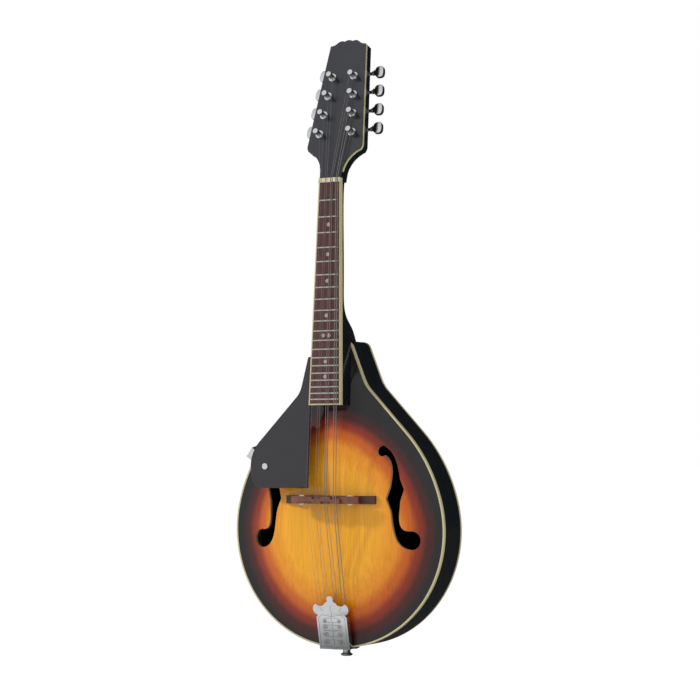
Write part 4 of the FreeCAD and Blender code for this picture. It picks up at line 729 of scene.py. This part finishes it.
class MANDOLIN_OT_machines(bpy.types.Operator):
    """Tuning keys with their buttons, posts, bushings, plates and the windings on the posts"""
    bl_idname = "mandolin.machines"
    bl_label = "Tuning machines"

    def execute(self, context):
        sizes, finish = context.scene.mandolin_sizes, finishes(context)
        dress(finish["chrome_hardware"], "tuner_plate_left", "tuner_plate_right",
              "tuner_plate_screws", "tuner_bushings",
              *(f"string_post_{number}" for number in range(1, 9)))
        for number in range(1, 9):
            key = self.build_key(number, sizes)
            finished(key, finish["chrome_hardware"], f"key_{number}", "chrome_hardware",
                     f"tuner_key_{number}")
        gauges = (sizes.gauge_e, sizes.gauge_e, sizes.gauge_a, sizes.gauge_a,
                  sizes.gauge_g, sizes.gauge_g, sizes.gauge_d, sizes.gauge_d)
        for number, gauge in enumerate(gauges, 1):
            coil = self.build_winding(number, gauge, sizes)
            wire = "string_wound" if gauge > sizes.gauge_a else "string_plain"
            finished(coil, finish[wire], "instrument", "string_steel")
        return {"FINISHED"}

    def build_key(self, number, sizes):
        """The shaft and worm of the construction, with a cushioned oval button on the end."""
        place = machine_frame(number)
        side = -1.0 if number < 5 else 1.0
        key = copied(f"tuner_key_{number}", f"key_{number}")
        key.data.transform(place.inverted())
        axis_point = place.inverted() @ Vector(joint(f"key_{number}_turn")["pos_m"])
        edit_all(key)
        bpy.ops.mesh.bisect(plane_co=(side * (sizes.button_start + 0.4 * MM), 0.0, 0.0),
                            plane_no=(side, 0.0, 0.0), use_fill=True, clear_outer=True)
        bpy.ops.object.mode_set(mode="OBJECT")
        softened(key, 0.15 * MM, 1)
        button = self.build_button(side, axis_point, sizes)
        whole = joined_pieces(f"key_{number}", [key, button])
        whole.data.transform(place)
        return whole

    def build_button(self, side, centre, sizes):
        """An oval button: its rim rounded, its faces dished, narrower toward its stem."""
        half = Vector((sizes.button_length, sizes.button_thickness, sizes.button_height)) / 2
        middle = Vector((side * (sizes.button_start + half.x), centre.y, centre.z))
        bpy.ops.object.select_all(action="DESELECT")
        bpy.ops.mesh.primitive_cylinder_add(vertices=40, radius=1.0, depth=2.0,
                                            end_fill_type="NGON",
                                            rotation=(math.radians(90), 0.0, 0.0))
        button = bpy.context.active_object
        bpy.ops.object.transform_apply(location=True, rotation=True, scale=True)
        edit_all(button)
        bpy.ops.mesh.select_all(action="DESELECT")
        bpy.ops.object.mode_set(mode="OBJECT")
        for face in button.data.polygons:
            face.select = abs(face.normal.y) > 0.9
        bpy.ops.object.mode_set(mode="EDIT")
        bpy.ops.mesh.inset(thickness=0.26, depth=0.0)
        bpy.ops.mesh.inset(thickness=0.22, depth=-0.10)
        bpy.ops.mesh.inset(thickness=0.2, depth=-0.04)
        bpy.ops.object.mode_set(mode="OBJECT")
        for vertex in button.data.vertices:
            spot = vertex.co
            reach = math.hypot(spot.x, spot.z)
            if reach > 0.95:
                spot.y *= 0.62
            turn = math.atan2(spot.z, spot.x)
            fuller = (abs(math.cos(turn)) ** OVAL_POWER
                      + abs(math.sin(turn)) ** OVAL_POWER) ** (-1 / OVAL_POWER)
            spot.x, spot.z = spot.x * fuller, spot.z * fuller
            taper = 1.0 - 0.10 * (1.0 - spot.x * side) / 2
            spot.z *= taper
            if spot.x * side < -0.6:
                spot.y *= 0.9
        button.data.transform(Matrix.Translation(middle) @ Matrix.Diagonal((*half, 1.0)))
        softened(button, 0.55 * MM, 3, 25.0)
        return button

    def build_winding(self, number, gauge, sizes):
        """The turns of string round a post, packed side by side."""
        reach = sizes.waist_radius + gauge / 2 + 0.1 * MM
        turns = max(2.0, round(sizes.winding_depth / gauge * 0.8))
        start = -sizes.wrap_height + gauge
        pitch = gauge * WINDING_PITCH
        points = []
        for step in range(int(turns * WINDING_STEPS)):
            turn = step * 2 * math.pi / WINDING_STEPS
            points.append(Vector((reach * math.cos(turn), start + pitch * step / WINDING_STEPS,
                                  reach * math.sin(turn))))
        last = start + pitch * turns
        floor = -2.6 * MM
        if last > floor:
            points = [point for point in points if point.y < floor]
        coil = wire_run(points, gauge / 2)
        coil.data.transform(machine_frame(number))
        coil.name = f"winding_{number}"
        bpy.ops.object.shade_smooth()
        return coil


class MANDOLIN_OT_bridge(bpy.types.Operator):
    """Bridge base, saddle, studs and thumbwheels"""
    bl_idname = "mandolin.bridge"
    bl_label = "Bridge"

    def execute(self, context):
        finish = finishes(context)
        dress(finish["wheel_nickel"], "thumbwheel_left", "thumbwheel_right")
        dress(finish["steel"], "bridge_studs")
        dress(finish["ebony"], "bridge_base")
        dress(finish["saddle_wood"], "saddle")
        return {"FINISHED"}


class MANDOLIN_OT_tailpiece(bpy.types.Operator):
    """Tailpiece base, engraved cover and end pin"""
    bl_idname = "mandolin.tailpiece"
    bl_label = "Tailpiece"

    def execute(self, context):
        sizes, finish = context.scene.mandolin_sizes, finishes(context)
        dress(finish["chrome_hardware"], "tailpiece_base", "tailpiece_screws", "end_pin")
        cover = softened(copied("tailpiece_cover", "cover_shell"), sizes.soft_edge, 2)
        finished(cover, finish["tailpiece_nickel"], "tailpiece_cover", "tailpiece_nickel",
                 "tailpiece_cover")
        # The scroll lines carry painted shade: their dark finish stands in for the shade inside cut
        # engraving.
        scrolls = joined_pieces("cover_scrolls_painted_shade", self.build_scrolls(sizes))
        finished(scrolls, finish["engraving"], "tailpiece_cover", "tailpiece_nickel")
        return {"FINISHED"}

    def build_scrolls(self, sizes):
        """Raised lines on the cover: a border, a stem and mirrored leaf scrolls."""
        place = tail_frame(sizes)
        runs = []
        half = sizes.cover_half_width - 2.4 * MM
        top = sizes.cover_length - 25.0 * MM
        border = [(-half, 2.6 * MM), (half, 2.6 * MM), (half, top), (half * 0.7, top + 3.4 * MM),
                  (0.0, top + 1.6 * MM), (-half * 0.7, top + 3.4 * MM), (-half, top)]
        runs.append((border, True))
        for level, reach, way in ((8.0, 4.4, 1), (17.5, 4.0, -1), (25.5, 3.8, 1), (32.5, 2.8, -1)):
            for side in (-1, 1):
                runs.append((self.scroll(side, level * MM, reach * MM, way), False))
                runs.append((self.scroll(side, level * MM, reach * 0.55 * MM, -way), False))
        for side in (-1, 1):
            runs.append(([(side * (9.5 + 3.2 * math.sin(step / 4)) * MM, (44.0 + step * 0.5) * MM)
                          for step in range(9)], False))
        stem = [(0.7 * MM * math.sin(step * 0.8), (5.0 + step * 1.4) * MM) for step in range(33)]
        runs.append((stem, False))
        wires = []
        for run, closed in runs:
            points = [Vector((across, -0.02 * MM, up)) for across, up in run]
            wire = wire_run(points, sizes.engraving, closed)
            wire.data.transform(place)
            wires.append(wire)
        return wires

    def scroll(self, side, level, reach, way):
        """A leaf scroll that leaves the stem and curls in on itself."""
        centre = (side * 8.6 * MM, level)
        points = [(side * 0.8 * MM, level - way * reach * 1.25)]
        for step in range(SCROLL_STEPS):
            turn = step * math.pi / 10 + SCROLL_LEAN
            radius = reach * (1.0 - step / 40.0)
            points.append((centre[0] + side * radius * math.sin(turn),
                           centre[1] - way * radius * math.cos(turn)))
        return points


class MANDOLIN_OT_pickguard(bpy.types.Operator):
    """Pickguard, its screw and its clamp"""
    bl_idname = "mandolin.pickguard"
    bl_label = "Pickguard"

    def execute(self, context):
        sizes, finish = context.scene.mandolin_sizes, finishes(context)
        guard = softened(copied("pickguard", "guard_sheet"), sizes.guard_edge, 1)
        finished(guard, finish["guard_plastic"], "instrument", "guard_plastic", "pickguard")
        clamp = softened(copied("pickguard_clamp", "guard_clamp"), sizes.soft_edge, 2)
        finished(clamp, finish["chrome_hardware"], "instrument", "chrome_hardware",
                 "pickguard_clamp")
        dress(finish["chrome_hardware"], "pickguard_screw", "clamp_screw", "pickguard_pins")
        return {"FINISHED"}


class MANDOLIN_OT_strings(bpy.types.Operator):
    """The four pairs of strings"""
    bl_idname = "mandolin.strings"
    bl_label = "Strings"

    def execute(self, context):
        finish = finishes(context)
        dress(finish["string_plain"], "strings_e", "strings_a")
        dress(finish["string_wound"], "strings_d", "strings_g")
        return {"FINISHED"}


class MANDOLIN_PT_panel(bpy.types.Panel):
    """Builds the mandolin's looks piece by piece"""
    bl_idname = "MANDOLIN_PT_panel"
    bl_label = "Mandolin"
    bl_space_type = "VIEW_3D"
    bl_region_type = "UI"
    bl_category = "Mandolin"

    def draw(self, context):
        for operator in OPERATORS:
            self.layout.operator(operator.bl_idname)
        for settings in (context.scene.mandolin_sizes, context.scene.mandolin_colours):
            column = self.layout.column(align=True)
            for key in settings.bl_rna.properties.keys():
                if key not in ("rna_type", "name"):
                    column.prop(settings, key)


OPERATORS = (MANDOLIN_OT_stage, MANDOLIN_OT_sound_box, MANDOLIN_OT_neck, MANDOLIN_OT_machines,
             MANDOLIN_OT_bridge, MANDOLIN_OT_tailpiece, MANDOLIN_OT_pickguard, MANDOLIN_OT_strings)
CLASSES = (MandolinSizes, MandolinColours) + OPERATORS + (MANDOLIN_PT_panel,)


def register():
    for item in CLASSES:
        bpy.utils.register_class(item)
    bpy.types.Scene.mandolin_sizes = bpy.props.PointerProperty(type=MandolinSizes)
    bpy.types.Scene.mandolin_colours = bpy.props.PointerProperty(type=MandolinColours)


def unregister():
    del bpy.types.Scene.mandolin_colours
    del bpy.types.Scene.mandolin_sizes
    for item in reversed(CLASSES):
        bpy.utils.unregister_class(item)


def main():
    register()
    for operator in OPERATORS:
        family, action = operator.bl_idname.split(".")
        getattr(getattr(bpy.ops, family), action)()


if __name__ == "__main__":
    main()
